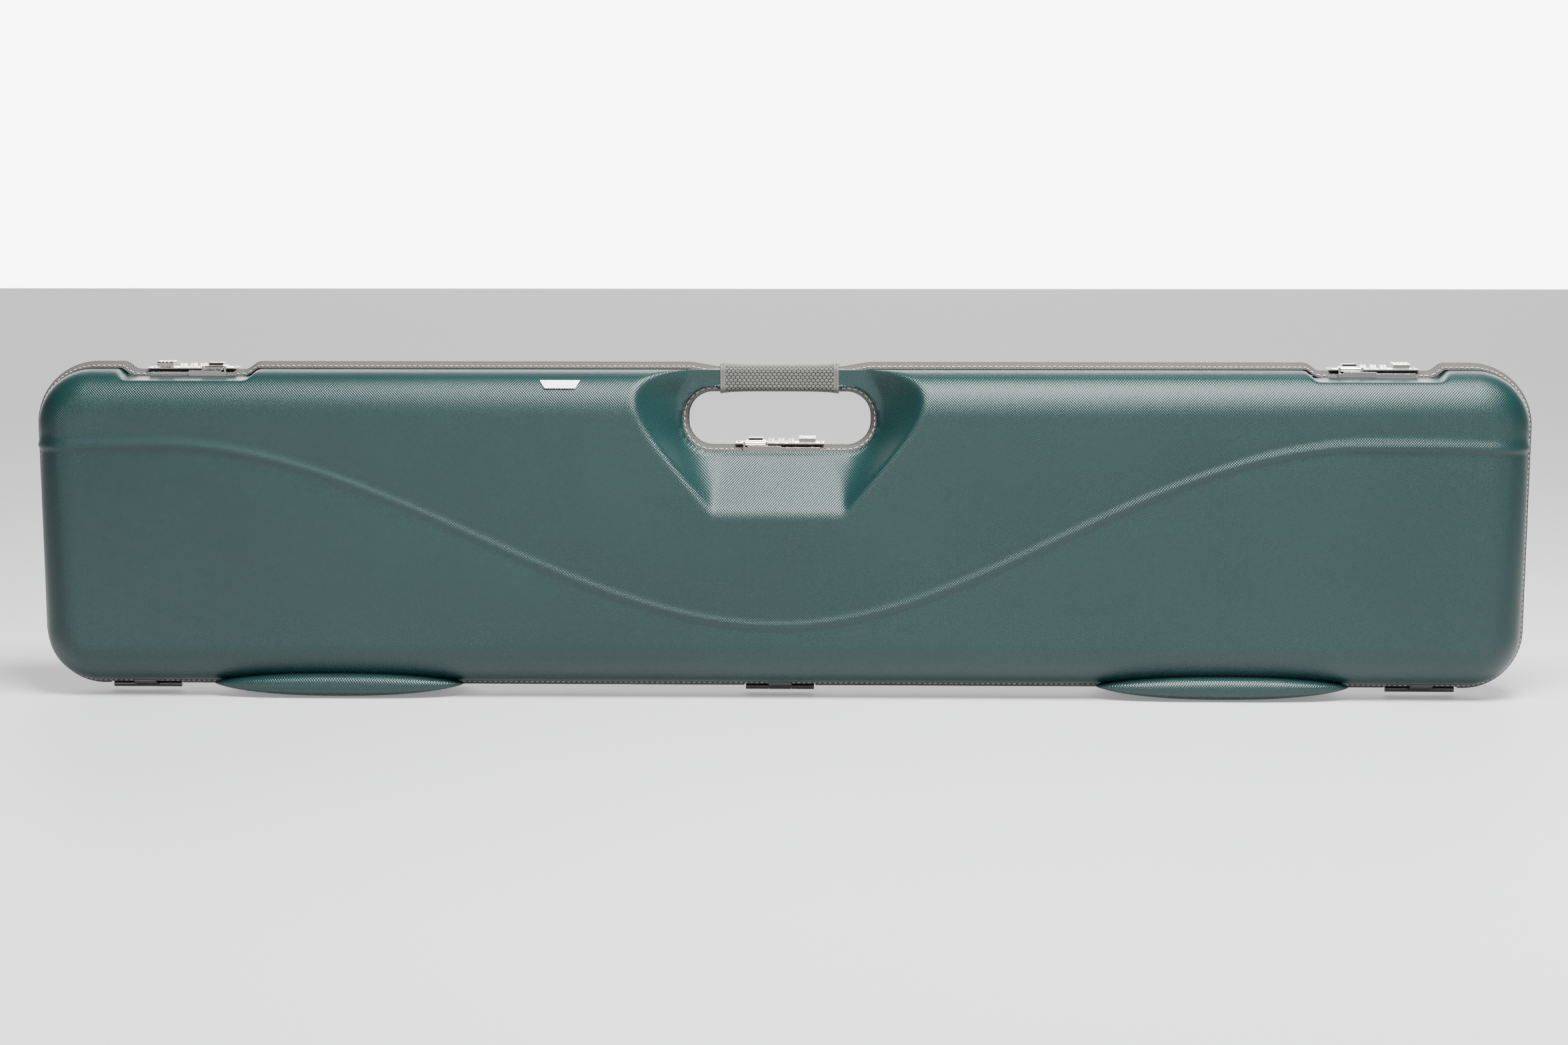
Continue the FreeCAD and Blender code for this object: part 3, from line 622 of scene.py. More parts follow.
def blockPoints(inset, stepX, stepZ, steps, cornerCols, face, profile):
    half, top, bottom = case["half"] - inset, case["top"] - inset, case["bottom"] + inset
    radiusTop, radiusLow = case["cornerTop"] - inset, case["cornerLow"] - inset
    left = half - radiusTop              # an inner block, four strips round it and four corner fans
    leanLow = half - case["lean"] - radiusLow
    highZ = top - radiusTop
    lowZ = bottom + radiusLow
    cols = int(round(2 * left / stepX))
    rows = int(round((highZ - lowZ) / stepZ))
    lean = math.atan2(case["lean"], top - bottom)
    outRight = (math.cos(lean), -math.sin(lean))
    outLeft = (-outRight[0], outRight[1])
    inner = np.zeros((rows + 1, cols + 1, 3))
    for r, t in enumerate(np.linspace(0, 1, rows + 1)):
        inner[r, :, 0] = np.linspace(-1, 1, cols + 1) * (leanLow + (left - leanLow) * t)
        inner[r, :, 2] = lowZ + (highZ - lowZ) * t
    inner[:, :, 1] = -face
    more = (steps, profile)
    return [inner,
            strip((-left, highZ), (left, highZ), (0, 1), (0, 1), radiusTop, radiusTop, cols, *more),
            strip((-leanLow, lowZ), (leanLow, lowZ), (0, -1), (0, -1), radiusLow, radiusLow, cols, *more),
            strip((leanLow, lowZ), (left, highZ), outRight, outRight, radiusLow, radiusTop, rows, *more),
            strip((-leanLow, lowZ), (-left, highZ), outLeft, outLeft, radiusLow, radiusTop, rows, *more),
            fan((left, highZ), outRight, (0, 1), radiusTop, cornerCols, *more),
            fan((-left, highZ), (0, 1), outLeft, radiusTop, cornerCols, *more),
            fan((-leanLow, lowZ), outLeft, (0, -1), radiusLow, cornerCols, *more),
            fan((leanLow, lowZ), (0, -1), outRight, radiusLow, cornerCols, *more)]


def blockFaces(blocks):
    verts, faces = [], []
    for index, block in enumerate(blocks):
        for face in gridFaces(*block.shape[:2], start=len(verts)):
            faces.append(face[::-1] if index in (2, 3) else face)
        verts += list(block.reshape(-1, 3))
    return np.array(verts), faces


def scoopDepth(x, z):                    # the hollow round the handle: flat at the bar, then facets
    s = scoopForm
    ax = np.abs(x)
    throat = holeHigh.x + s["throat"] - smoothstep(s["neckLow"], s["neckHigh"], z) * s["neck"]
    within = roundedBox(x, z, throat, holeLow.z - s["throat"], 0.34, s["throatRadius"])
    runX, runZ = s["wide"] - s["footHalf"], s["shoulder"] - s["footLow"]
    length = math.hypot(runX, runZ)
    slanted = ((z - s["footLow"]) * runX - (ax - s["footHalf"]) * runZ) / length
    outside = softMin(slanted, s["wide"] - ax, s["soft"])
    inside = np.maximum(within, 0)
    even = length / runX                 # makes the slanting facet meet the foot's facet in an upright edge
    share = inside / np.maximum(inside + np.maximum(outside, 0) * even, 0.05 * mm)
    share = np.where(outside <= 0, 1 - outside / (20 * mm), share)
    lower = (s["footHigh"] - z) / (s["footHigh"] - s["footLow"])
    share = softMax(np.where(z < s["footHigh"] + 30 * mm, lower, 0), share, 0.05)
    return s["floor"] + share * (case["depth"] - s["floor"])


def recessLevel(x, y, centre):           # floor of a lock's recess, with sloping ends
    away = np.abs(x - centre)
    floor = case["top"] - case["recessDrop"] - np.maximum(y - trim["depth"], 0) * 0.09
    ramp = smoothstep(case["recessHalf"] - 2 * mm, case["recessHalf"] + case["recessSlope"] + 2 * mm, away)
    return floor + ramp * (case["recessDrop"] + 2 * mm)


def shapeShell(points):                  # wave, crown, hollow and lock recesses pressed into the plain form
    x, y, z = points[:, 0], -points[:, 1], points[:, 2]
    s = shellForm
    facing = smoothstep(case["depth"] - s["faceSoft"], case["depth"] - 1 * mm, y)
    middle = (case["top"] + case["bottom"]) / 2
    swell = 1 - ((z - middle) / (case["top"] - case["bottom"]) * 2) ** 2
    y = y - facing * case["crown"] * (1 - np.clip(swell, 0, 1))
    line = np.linspace(-0.66, 0.66, 1321)
    tilt = np.interp(x, line, np.gradient(waveLevel(line), 1 * mm))
    off = (z - waveLevel(x)) / np.sqrt(1 + tilt ** 2)
    ends = smoothstep(s["endsFrom"], s["endsTo"], np.abs(x))
    wide = s["slopeWide"] * (0.6 + 0.4 * ends)
    slope = smoothstep(0, 1, off / wide) * np.exp(-np.maximum(off - wide, 0) / s["easing"])
    below = np.minimum(off + s["stepWide"], 0)
    step = smoothstep(0.3 * mm, -s["stepWide"], off) * np.exp(below / s["easing"])
    fine = np.exp(-((off - wide - s["lineWide"]) / s["lineWide"]) ** 2)
    fineFade = smoothstep(0.05, 0.20, np.abs(x)) * (1 - smoothstep(0.50, 0.60, np.abs(x)))
    pressed = (slope + step) * s["creaseDeep"] * (0.65 + 0.35 * ends) + fine * s["lineDeep"] * fineFade
    y = y - pressed * (0.25 + 0.75 * facing) * smoothstep(6 * mm, 34 * mm, y)
    inward = pressed * (1 - facing) * 0.8 * smoothstep(6 * mm, 18 * mm, y)
    x = x - np.sign(x) * np.where(np.abs(x) > 0.6, inward, 0)
    near = (np.abs(x) < 0.17) & (z > 0.12)
    y = np.where(near, softMin(y, scoopDepth(x, z), scoopForm["lip"]), y)
    plain = np.zeros_like(x)
    for name in ("left", "right"):
        centre = lockMiddles[name]
        close = (np.abs(x - centre) < 80 * mm) & (z > case["top"] - 40 * mm)
        lowered = np.minimum(softMin(z, recessLevel(x, y, centre), 2.0 * mm), z)
        lowered = np.where(close, lowered, z)
        plain = np.maximum(plain, np.where(close, smoothstep(0.2 * mm, 1.2 * mm, z - lowered), 0))
        z = lowered
    return np.column_stack([x, -y, z]), plain


def cutHandHole(obj):                    # weld the blocks, open the hand hole and turn its edge inwards
    work = bmesh.new()
    work.from_mesh(obj.data)
    bmesh.ops.remove_doubles(work, verts=work.verts, dist=0.05 * mm)
    half, low, high, radius = holeHigh.x, holeLow.z, holeHigh.z, 26.4 * mm

    def distance(co):
        return float(roundedBox(np.array([co.x]), np.array([co.z]), half, low, high, radius)[0])

    def snap(vert, limit):
        d = distance(vert.co)
        if abs(d) < limit and vert.co.y > -24 * mm:
            e = 0.2 * mm
            gx = distance(vert.co + Vector((e, 0, 0))) - d
            gz = distance(vert.co + Vector((0, 0, e))) - d
            size = math.hypot(gx, gz) or 1
            vert.co.x -= d * gx / size
            vert.co.z -= d * gz / size
    for vert in work.verts:
        if abs(vert.co.x) < half + 10 * mm and vert.co.z > low - 10 * mm:
            snap(vert, 1.3 * mm)
    doomed = []
    for face in work.faces:
        spot = face.calc_center_median()
        if abs(spot.x) < half and low < spot.z < high and distance(spot) < -0.05 * mm:
            doomed.append(face)
    bmesh.ops.delete(work, geom=doomed, context="FACES")
    rim = [e for e in work.edges if e.is_boundary
           and all(abs(v.co.x) < half + 6 * mm and low - 6 * mm < v.co.z < high + 3 * mm
                   and v.co.y < -8 * mm for v in e.verts)]
    for vert in {v for e in rim for v in e.verts}:
        snap(vert, 6 * mm)
        snap(vert, 6 * mm)
    made = bmesh.ops.extrude_edge_only(work, edges=rim)["geom"]
    for vert in [v for v in made if isinstance(v, bmesh.types.BMVert)]:
        vert.co.y = -trim["depth"] + 0.8 * mm
    bmesh.ops.recalc_face_normals(work, faces=work.faces)
    work.to_mesh(obj.data)
    work.free()


def makeFoot(side):                      # a lens-shaped foot, flat on its tread, its ends curling up
    u = np.linspace(-1, 1, foot["rows"] + 1)
    middle = (foot["inner"] + foot["outer"]) / 2
    turn = np.linspace(0, 2 * math.pi, foot["cols"], endpoint=False)
    points = np.zeros((len(u), len(turn), 3))
    for i, t in enumerate(u):
        full = max(1 - abs(t) ** 2.3, 0.0) ** 0.75
        blunt = max(1 - abs(t) ** 3.4, 0.0) ** 0.6
        cos, sin = np.cos(turn), np.sin(turn)
        deep = np.sign(cos) * np.abs(cos) ** 0.80
        tall = np.sign(sin) * np.abs(sin) ** 0.85
        points[i, :, 0] = side * foot["place"] + t * foot["half"]
        points[i, :, 1] = -middle + deep * blunt * (foot["outer"] - foot["inner"]) / 2
        lift = foot["tall"] / 2 * (1 + tall * full)
        points[i, :, 2] = np.maximum(lift, 0.0)
    made = outwards(gridMesh("foot", points, closedV=True))
    storeEmboss(made, np.ones(len(made.data.vertices)))
    return made


def makeShell():                         # one half's shell: pressed form, hand hole, wall and feet
    table = np.linspace(0, 0.2, 4001)
    insets = sideProfile(table)[0]

    def profile(radius, s):
        inset, deep = sideProfile(np.interp(radius, insets, table) * (1 - s))
        return radius - inset, deep
    steps = np.linspace(0, 1, shellForm["sideRows"] + 1)
    blocks = blockPoints(0, shellForm["stepX"], shellForm["stepZ"], steps, shellForm["cornerCols"],
                         case["depth"], profile)
    points, faces = blockFaces(blocks)
    shaped, plain = shapeShell(points)
    obj = newMesh("lidShell", shaped, faces)
    storeEmboss(obj, 1 - plain)
    cutHandHole(obj)
    wall = obj.modifiers.new("wall", "SOLIDIFY")
    wall.thickness = case["thick"]
    wall.offset = -1
    applyModifiers(obj)
    return joined("lidShell", [obj, makeFoot(-1), makeFoot(1)])


lidShell = dress(makeShell(), "shell")
baseShell = mirrorY(lidShell, "baseShell")
settle(lidShell, "lid", "shell_plastic", "lid_shell")
settle(baseShell, "base", "shell_plastic", "base_shell")
print("shells:", len(lidShell.data.polygons), "faces each")

# the leatherette binding round the rim and the hand hole

sleeve = {
    "half": sleeveHigh.x,
    "front": -sleeveLow.y - 0.35 * mm,
    "top": sleeveHigh.z - 0.35 * mm,
    "low": sleeveLow.z + 0.35 * mm,
    "from": 255 * mm,                    # levels between which the hand hole's binding runs under it
    "middle": 272 * mm,
    "waist": 1.7 * mm,
    "corner": 5.5 * mm,
    "step": 0.38 * mm,
    "relief": 0.42 * mm,
    "hem": 4.2 * mm,
    "hemStitch": 2.4 * mm,
    "hemPitch": 2.6 * mm,
}


def rimOutline():                        # corners of the rim, with its dips at the locks and the grip
    half, top, bottom = rimHigh.x, rimHigh.z, rimLow.z
    outer = case["cornerTop"] + trim["rise"]
    lower = case["cornerLow"] + trim["rise"]
    corners = [(-half, top, outer)]
    dip = 4.2 * mm                       # the binding dips under the grip's sleeve
    for name in lockNames:
        centre = lockMiddles[name]
        flat = case["recessHalf"] - trim["rise"]
        wide = flat + case["recessSlope"]
        drop = case["recessDrop"]
        if name == "centre":
            flat, wide, drop = sleeve["half"] + 1 * mm, sleeve["half"] + 26 * mm, dip
        soft = 9 * mm if name != "centre" else 30 * mm
        corners += [(centre - wide, top, soft), (centre - flat, top - drop, soft),
                    (centre + flat, top - drop, soft), (centre + wide, top, soft)]
    return corners + [(half, top, outer), (half - case["lean"], bottom, lower),
                      (-half + case["lean"], bottom, lower)]


def holeOutline():                       # corners of the hand opening, inside its binding
    half = holeHigh.x - trim["rise"]
    low, high = holeLow.z + trim["rise"], holeHigh.z - trim["rise"]
    radius = 21 * mm
    return [(-half, high, radius), (half, high, radius), (half, low, radius), (-half, low, radius)]


def bindingProfile():                    # (drop from the crest, depth): seam face, puffed slope, rolled edge
    slope = trim["fall"] / (trim["depth"] - case["seam"])
    profile = [(trim["rise"] + 0.2 * mm, case["seam"]), (2.4 * mm, case["seam"]), (0.75 * mm, case["seam"]),
               (0.22 * mm, 0.45 * mm), (0.05 * mm, 1.1 * mm)]
    for depth in np.linspace(2.0, 12.4, 13) * mm:
        puff = 0.55 * mm * math.sin(math.pi * min(depth / trim["stitchRow"], 1)) ** 0.8
        pinch = 0.55 * mm * math.exp(-((depth - trim["stitchRow"]) / (0.8 * mm)) ** 2)
        profile.append((slope * depth + 0.35 * mm - puff * 0.6 + pinch, depth))
    return profile + [(trim["fall"] - 0.15 * mm, 13.0 * mm), (trim["fall"] + 0.2 * mm, 13.4 * mm),
                      (trim["fall"] + 0.7 * mm, trim["depth"]),
                      (trim["rise"] + 0.1 * mm, trim["depth"] - 0.1 * mm)]


def swept(name, path, profile, sign):    # profile drops carried round the path
    points, outward, lengths = path
    drops = np.array([p[0] for p in profile])
    depths = np.array([p[1] for p in profile])
    along = np.concatenate([[0], np.cumsum(np.hypot(np.diff(drops), np.diff(depths)))])
    grid = np.zeros((len(points), len(profile), 3))
    grid[:, :, 0] = points[:, None, 0] + sign * outward[:, None, 0] * drops[None, :]
    grid[:, :, 2] = points[:, None, 1] + sign * outward[:, None, 1] * drops[None, :]
    grid[:, :, 1] = -depths[None, :]
    return grid, lengths, along


def stitches(name, path, sign, depth, drop, tilt, skip):   # short thread loops, each a bent capsule
    points, outward, lengths = path
    count = int(lengths[-1] / trim["stitchPitch"])
    verts, faces = [], []
    sides, rings = 6, 7
    for k in range(count):
        start = (k + 0.12) * lengths[-1] / count
        spots = np.linspace(start, start + trim["stitchLong"], rings)
        closed = np.vstack([points, points[:1]])
        px = np.interp(spots, lengths, closed[:, 0])
        pz = np.interp(spots, lengths, closed[:, 1])
        nx = np.interp(spots, lengths, np.append(outward[:, 0], outward[0, 0]))
        nz = np.interp(spots, lengths, np.append(outward[:, 1], outward[0, 1]))
        if skip(px.mean(), pz.mean()):
            continue
        base = len(verts)
        for i in range(rings):
            t = i / (rings - 1)
            arch = math.sin(math.pi * t)
            thick = trim["stitchThick"] * (0.45 + 0.55 * arch)
            middle = drop - 0.28 * mm * arch + 0.10 * mm
            for j in range(sides):
                a = 2 * math.pi * j / sides
                d = middle - thick * math.cos(a)
                verts.append((px[i] + sign * nx[i] * d, -(depth + tilt * (t - 0.5) + thick * math.sin(a)),
                              pz[i] + sign * nz[i] * d))
        faces += tubeFaces(rings, sides, base)
    return outwards(newMesh(name, verts, faces))


def hingeMiddles():                      # each hinge pin's middle
    groups = []
    for x in sorted({round(v.co.x, 4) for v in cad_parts["hinge_pins"].data.vertices}):
        if not groups or x - groups[-1][-1] > 0.15:
            groups.append([x])
        else:
            groups[-1].append(x)
    return [(group[0] + group[-1]) / 2 for group in groups]


def roomForFittings(grid, side):         # flatten the binding where hinges, locks and the sleeve sit
    x, y, z = grid[:, :, 0], np.abs(grid[:, :, 1]), grid[:, :, 2]
    for middle in hingeMiddles():
        here = (z < 12 * mm) & (y < 5 * mm) & (np.abs(x - middle) < 31.5 * mm)
        z[here] = np.maximum(z[here], 7.6 * mm)
    for name in lockNames:
        seat = lockBoxes[name][1].z - 1.5 * mm
        middle = lockMiddles[name]
        if side == "base":
            turn = 1 if name == "left" else -1
            here = (np.abs(x - middle + 0.7 * mm * turn) < 15.2 * mm) & (y > 0.8 * mm) & (y < 12.8 * mm)
            here &= np.abs(z - seat) < 8 * mm
            z[here] = np.minimum(z[here], seat - 5.35 * mm)
    under = np.abs(x) < sleeve["half"] - 1 * mm
    ceiling = under & (z > sleeve["from"]) & (z < sleeve["middle"])
    z[ceiling] = np.maximum(z[ceiling], sleeve["low"] + sleeve["waist"] + 1.6 * mm)


def makeBinding(name, corners, sign, skip):
    path = roundedPath(corners, trim["step"])
    profile = bindingProfile()
    stitchDrop = trim["fall"] * trim["stitchRow"] / trim["depth"] + 0.35 * mm
    pieces = {}
    for side in ("lid", "base"):
        grid, lengths, along = swept(name, path, profile, sign)
        roomForFittings(grid, side)
        obj = outwards(dress(gridMesh(side + name, grid, closedU=True, alongU=lengths, alongV=along), "trim"))
        row = stitches("stitches", path, sign, trim["stitchRow"], stitchDrop, 0.5 * mm, skip)
        stitchRow = dress(row, "thread")
        # a near-black tube along the binding's lower edge: painted shadow where the binding stands off the
        # shell, not a real piping
        angles = np.linspace(0, 2 * math.pi, 7)[:-1]
        ring = [(trim["rise"] + 0.1 * mm + trim["shadowLineRadius"] * math.cos(a),
                 trim["depth"] + 0.1 * mm + trim["shadowLineRadius"] * math.sin(a)) for a in angles]
        grid, lengths, along = swept("paintedShadowLine", path, ring, sign)
        paintedShadowLine = outwards(dress(gridMesh("paintedShadowLine", grid, closedU=True, closedV=True), "paintedShadowLine"))
        obj = joined(side + name, [obj, stitchRow, paintedShadowLine])
        if side == "base":
            for v in obj.data.vertices:
                v.co.y = -v.co.y
            obj.data.flip_normals()
        pieces[side] = obj
    return pieces


def overSeat(x, z):                      # no stitches under lock plates, brackets or the sleeve
    for name in lockNames:
        low, high = lockBoxes[name]
        if low.x - 1 * mm < x < high.x + 1 * mm and abs(z - high.z) < 12 * mm:
            return True
    return abs(x) < sleeve["half"] and z > sleeve["from"]


rimBinding = makeBinding("EdgeTrim", rimOutline(), -1, overSeat)
holeBinding = makeBinding("HandHoleTrim", holeOutline(), 1, overSeat)
for half in ("lid", "base"):
    settle(rimBinding[half], half, "trim_leatherette", half + "_edge_trim")
    settle(holeBinding[half], half, "trim_leatherette", half + "_hand_hole_trim")
print("bindings:", len(rimBinding["lid"].data.polygons), len(holeBinding["lid"].data.polygons), "faces")

# the grip's sleeve: a honeycomb wrap with stitched hems, waisted in its middle


def sleeveSection():                     # round one half of the bar, from the seam's top to its bottom
    s = sleeve
    near = case["seam"]
    points = [(near, s["top"])]
    for centre, start in (((s["front"] - s["corner"], s["top"] - s["corner"]), 90),
                          ((s["front"] - s["corner"], s["low"] + s["corner"]), 0)):
        for turn in np.linspace(start, start - 90, 25):
            a = math.radians(turn)
            points.append((centre[0] + s["corner"] * math.cos(a), centre[1] + s["corner"] * math.sin(a)))
    points.append((near, s["low"]))
    line = np.array(points)
    lengths = runLengths(line)
    even = np.linspace(0, lengths[-1], int(lengths[-1] / s["step"]))
    section = np.column_stack([np.interp(even, lengths, line[:, 0]), np.interp(even, lengths, line[:, 1])])
    ahead = np.gradient(section, axis=0)
    ahead /= np.linalg.norm(ahead, axis=1)[:, None]
    return section, np.column_stack([-ahead[:, 1], ahead[:, 0]]), even


def waisted(x, upright):                 # how far the wrap draws in between its flared ends
    return sleeve["waist"] * (1 - np.abs(x / sleeve["half"]) ** 5) * (0.12 + 0.88 * abs(upright))


def makeSleeve():
    s = sleeve
    section, outward, even = sleeveSection()
    xs = np.linspace(-s["half"], s["half"], int(2 * s["half"] / s["step"]))
    gridX, gridV = np.meshgrid(xs, even, indexing="ij")
    cell = hexCells(gridX + 1.0, gridV, hexes["gripPitch"], hexes["gripSquash"])
    dome = 1 - smoothstep(0.60, 0.98, cell)
    hemmed = smoothstep(s["half"] - s["hem"] - 0.3 * mm, s["half"] - s["hem"] + 0.3 * mm, np.abs(gridX))
    edge = smoothstep(s["half"] - 0.8 * mm, s["half"], np.abs(gridX))
    rise = (dome - 1) * s["relief"] * (1 - hemmed) - edge * 0.5 * mm
    rise += hemmed * 0.12 * mm
    rise -= 0.35 * mm * np.exp(-((np.abs(gridX) - s["half"] + s["hemStitch"]) / (0.5 * mm)) ** 2)
    rise -= waisted(gridX, outward[None, :, 1])
    points = np.zeros(gridX.shape + (3,))
    points[:, :, 0] = gridX
    points[:, :, 1] = -(section[None, :, 0] + outward[None, :, 0] * rise)
    points[:, :, 2] = section[None, :, 1] + outward[None, :, 1] * rise
    points[:, :, 1] = np.minimum(points[:, :, 1], -case["seam"])
    obj = gridMesh("lidGripSleeve", points, alongU=xs + 1.0, alongV=even)
    dress(obj, "grip", "hem", "threadDark")
    centres = np.zeros(len(obj.data.polygons) * 3)
    obj.data.polygons.foreach_get("center", centres)
    inHem = np.abs(centres[0::3]) > s["half"] - s["hem"]
    obj.data.polygons.foreach_set("material_index", inHem.astype(int))
    outwards(obj)
    wall = obj.modifiers.new("wall", "SOLIDIFY")
    wall.thickness = 0.5 * mm
    wall.offset = -1
    applyModifiers(obj)
    verts, faces = [], []                # hem stitches, lying round the bar
    for side in (-1, 1):
        middle = side * (s["half"] - s["hemStitch"])
        count = int(even[-1] / s["hemPitch"])
        for k in range(count):
            base = len(verts)
            spots = np.linspace((k + 0.15) * even[-1] / count, (k + 0.80) * even[-1] / count, 6)
            for t, v in enumerate(spots):
                arch = math.sin(math.pi * t / 5)
                y, z = (np.interp(v, even, section[:, i]) for i in (0, 1))
                ny, nz = (np.interp(v, even, outward[:, i]) for i in (0, 1))
                thick = 0.34 * mm * (0.45 + 0.55 * arch)
                for j in range(6):
                    a = math.pi * j / 3
                    lift = 0.22 * mm * arch + thick * math.sin(a) - 0.30 * mm - waisted(middle, nz)
                    verts.append((middle + thick * math.cos(a), -(y + ny * lift), z + nz * lift))
            faces += tubeFaces(6, 6, base)
    thread = dress(outwards(newMesh("hemStitches", verts, faces)), "threadDark")
    return joined("lidGripSleeve", [obj, thread])


lidSleeve = makeSleeve()
baseSleeve = mirrorY(lidSleeve, "baseGripSleeve")
settle(lidSleeve, "lid", "grip_leatherette", "lid_grip_sleeve")
settle(baseSleeve, "base", "grip_leatherette", "base_grip_sleeve")
print("grip sleeves:", len(lidSleeve.data.polygons), "faces each")

# convoluted foam in both halves, and the straps that hold the gun

foam = {
    "face": -foamHigh.y,                 # depth of the peaks
    "inset": 6.4 * mm,
    "gap": 3.9 * mm,                     # from the shell's outside to the foam's back
    "pitch": 34 * mm,
    "valley": 8 * mm,
    "step": 4.4 * mm,
    "thinnest": 4 * mm,
    "underLock": 5 * mm,                 # how far the foam keeps below a lock's recess
}


def shellDepth(x, z):                    # depth of the shell's outside over a point of its plan
    half = case["half"] - case["lean"] * (case["top"] - z) / (case["top"] - case["bottom"])
    upper = z > (case["top"] + case["bottom"]) / 2
    radius = np.where(upper, case["cornerTop"], case["cornerLow"])
    middle = (case["top"] + case["bottom"]) / 2
    qx = np.abs(x) - half + radius
    qz = np.abs(z - middle) - (case["top"] - case["bottom"]) / 2 + radius
    inward = -(np.hypot(np.maximum(qx, 0), np.maximum(qz, 0)) + np.minimum(np.maximum(qx, qz), 0) - radius)
    inward = np.maximum(inward - 1.2 * mm, 0)
    bend = case["round"]
    over = np.maximum(bend - inward, 0)
    plain = case["depth"] - bend + np.sqrt(np.maximum(bend ** 2 - over ** 2, 0))
    return np.where((np.abs(x) < 0.17) & (z > 0.12), np.minimum(plain, scoopDepth(x, z)), plain)


def makeFoam():                          # peaks and valleys in front, the shell's form behind
    steps = np.linspace(0, 1, 9)
    blocks = blockPoints(foam["inset"], foam["step"], foam["step"], steps, 16, foam["face"],
                         lambda radius, s: (radius * s, np.full(len(radius), foam["face"])))
    points, faces = blockFaces(blocks)
    x, z = points[:, 0], points[:, 2]
    for name in ("left", "right"):
        centre = lockMiddles[name]
        lowered = np.minimum(z, recessLevel(x, np.zeros_like(x), centre) - foam["underLock"])
        z = np.where(np.abs(x - centre) < 70 * mm, lowered, z)
    back = shellDepth(x, z) - foam["gap"]
    turn = math.pi / foam["pitch"]
    waves = 0.5 + 0.5 * np.sin((x + z) * turn) * np.sin((x - z) * turn)
    near = smoothstep(foam["thinnest"], 26 * mm, back - foam["face"])
    front = foam["face"] + foam["valley"] * (waves * near + (1 - near) * 0.4)
    front = np.minimum(front, back - 1.5 * mm)
    keep = back - foam["face"] > foam["thinnest"]
    kept = [f for f in faces if all(keep[i] for i in f)]
    count = len(points)
    verts = np.vstack([np.column_stack([x, -front, z]), np.column_stack([x, -back, z])])
    work = bmesh.new()
    spots = [work.verts.new(v) for v in verts]
    for f in kept:
        work.faces.new([spots[i] for i in f])
        work.faces.new([spots[i + count] for i in reversed(f)])
    bmesh.ops.remove_doubles(work, verts=work.verts, dist=0.05 * mm)
    bmesh.ops.bridge_loops(work, edges=[e for e in work.edges if e.is_boundary])
    loose = [v for v in work.verts if not v.link_faces]
    bmesh.ops.delete(work, geom=loose, context="VERTS")
    bmesh.ops.recalc_face_normals(work, faces=work.faces)
    mesh = bpy.data.meshes.new("lidFoam")
    work.to_mesh(mesh)
    work.free()
    mesh.polygons.foreach_set("use_smooth", [True] * len(mesh.polygons))
    return dress(addObject("lidFoam", mesh), "foam")


lidFoam = makeFoam()
baseFoam = mirrorY(lidFoam, "baseFoam")
for piece, half in ((lidFoam, "lid"), (baseFoam, "base")):
    settle(piece, half, "lining_foam", half + "_foam")
print("foams:", len(lidFoam.data.polygons), "faces each")

strap = {
    "ripple": 0.12 * mm,
    "cols": 14,
    "step": 1.5 * mm,
    "hem": 22 * mm,                      # length of the stitched end
    "stitchPitch": 3.2 * mm,
}


def makeStrap(name):                     # flat webbing with a rolled selvedge and box-stitched ends
    low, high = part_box(name + "_strap")
    middle, half = (low.x + high.x) / 2, (high.x - low.x) / 2
    outline = []
    for t in np.linspace(-1, 1, strap["cols"]):
        outline.append((t * half, high.y - 0.1 * mm - (0.25 * mm if abs(t) > 0.95 else 0)))
    for t in np.linspace(1, -1, strap["cols"]):
        outline.append((t * half, low.y + 0.1 * mm + (0.25 * mm if abs(t) > 0.95 else 0)))
    outline = np.array(outline)
    zs = np.linspace(low.z, high.z, int((high.z - low.z) / strap["step"]))
    points = np.zeros((len(zs), len(outline), 3))
    for i, z in enumerate(zs):
        squeeze = 1 - 0.02 * math.sin(z * 90) ** 2
        points[i, :, 0] = middle + outline[:, 0] * squeeze
        points[i, :, 1] = outline[:, 1] + strap["ripple"] * math.sin(z * 47)
        points[i, :, 2] = z
    around = runLengths(np.vstack([outline, outline[:1]]))
    obj = gridMesh(name + "Strap", points, closedV=True, alongU=zs, alongV=around)
    work = bmesh.new()
    work.from_mesh(obj.data)
    bmesh.ops.holes_fill(work, edges=[e for e in work.edges if e.is_boundary])
    bmesh.ops.recalc_face_normals(work, faces=work.faces)
    work.to_mesh(obj.data)
    work.free()
    dress(obj, "webbing")
    verts, faces = [], []                # box stitching with a cross at each end
    for end, way in ((low.z, 1), (high.z, -1)):
        a, b = half - 3 * mm, strap["hem"]
        corners = [(-a, 2 * mm), (a, 2 * mm), (a, b), (-a, b), (-a, 2 * mm), (a, b), (a, 2 * mm), (-a, b)]
        for (x0, z0), (x1, z1) in zip(corners, corners[1:]):
            length = math.hypot(x1 - x0, z1 - z0)
            for k in range(int(length / strap["stitchPitch"])):
                t0 = (k + 0.15) * strap["stitchPitch"] / length
                t1 = (k + 0.80) * strap["stitchPitch"] / length
                base = len(verts)
                for t in np.linspace(t0, t1, 4):
                    for j in range(5):
                        turn = 2 * math.pi * j / 5
                        verts.append((middle + x0 + (x1 - x0) * t + 0.25 * mm * math.cos(turn),
                                      low.y + 0.22 * mm + 0.2 * mm * math.sin(turn),
                                      end + way * (z0 + (z1 - z0) * t) + 0.2 * mm * math.cos(turn)))
                faces += tubeFaces(4, 5, base)
    thread = dress(outwards(newMesh("strapStitches", verts, faces)), "threadDark")
    return joined(name + "Strap", [obj, thread])


for name in ("left", "right"):
    settle(makeStrap(name), "base", "strap_webbing", name + "_strap")
print("straps made")

# locks, name plate and hinges

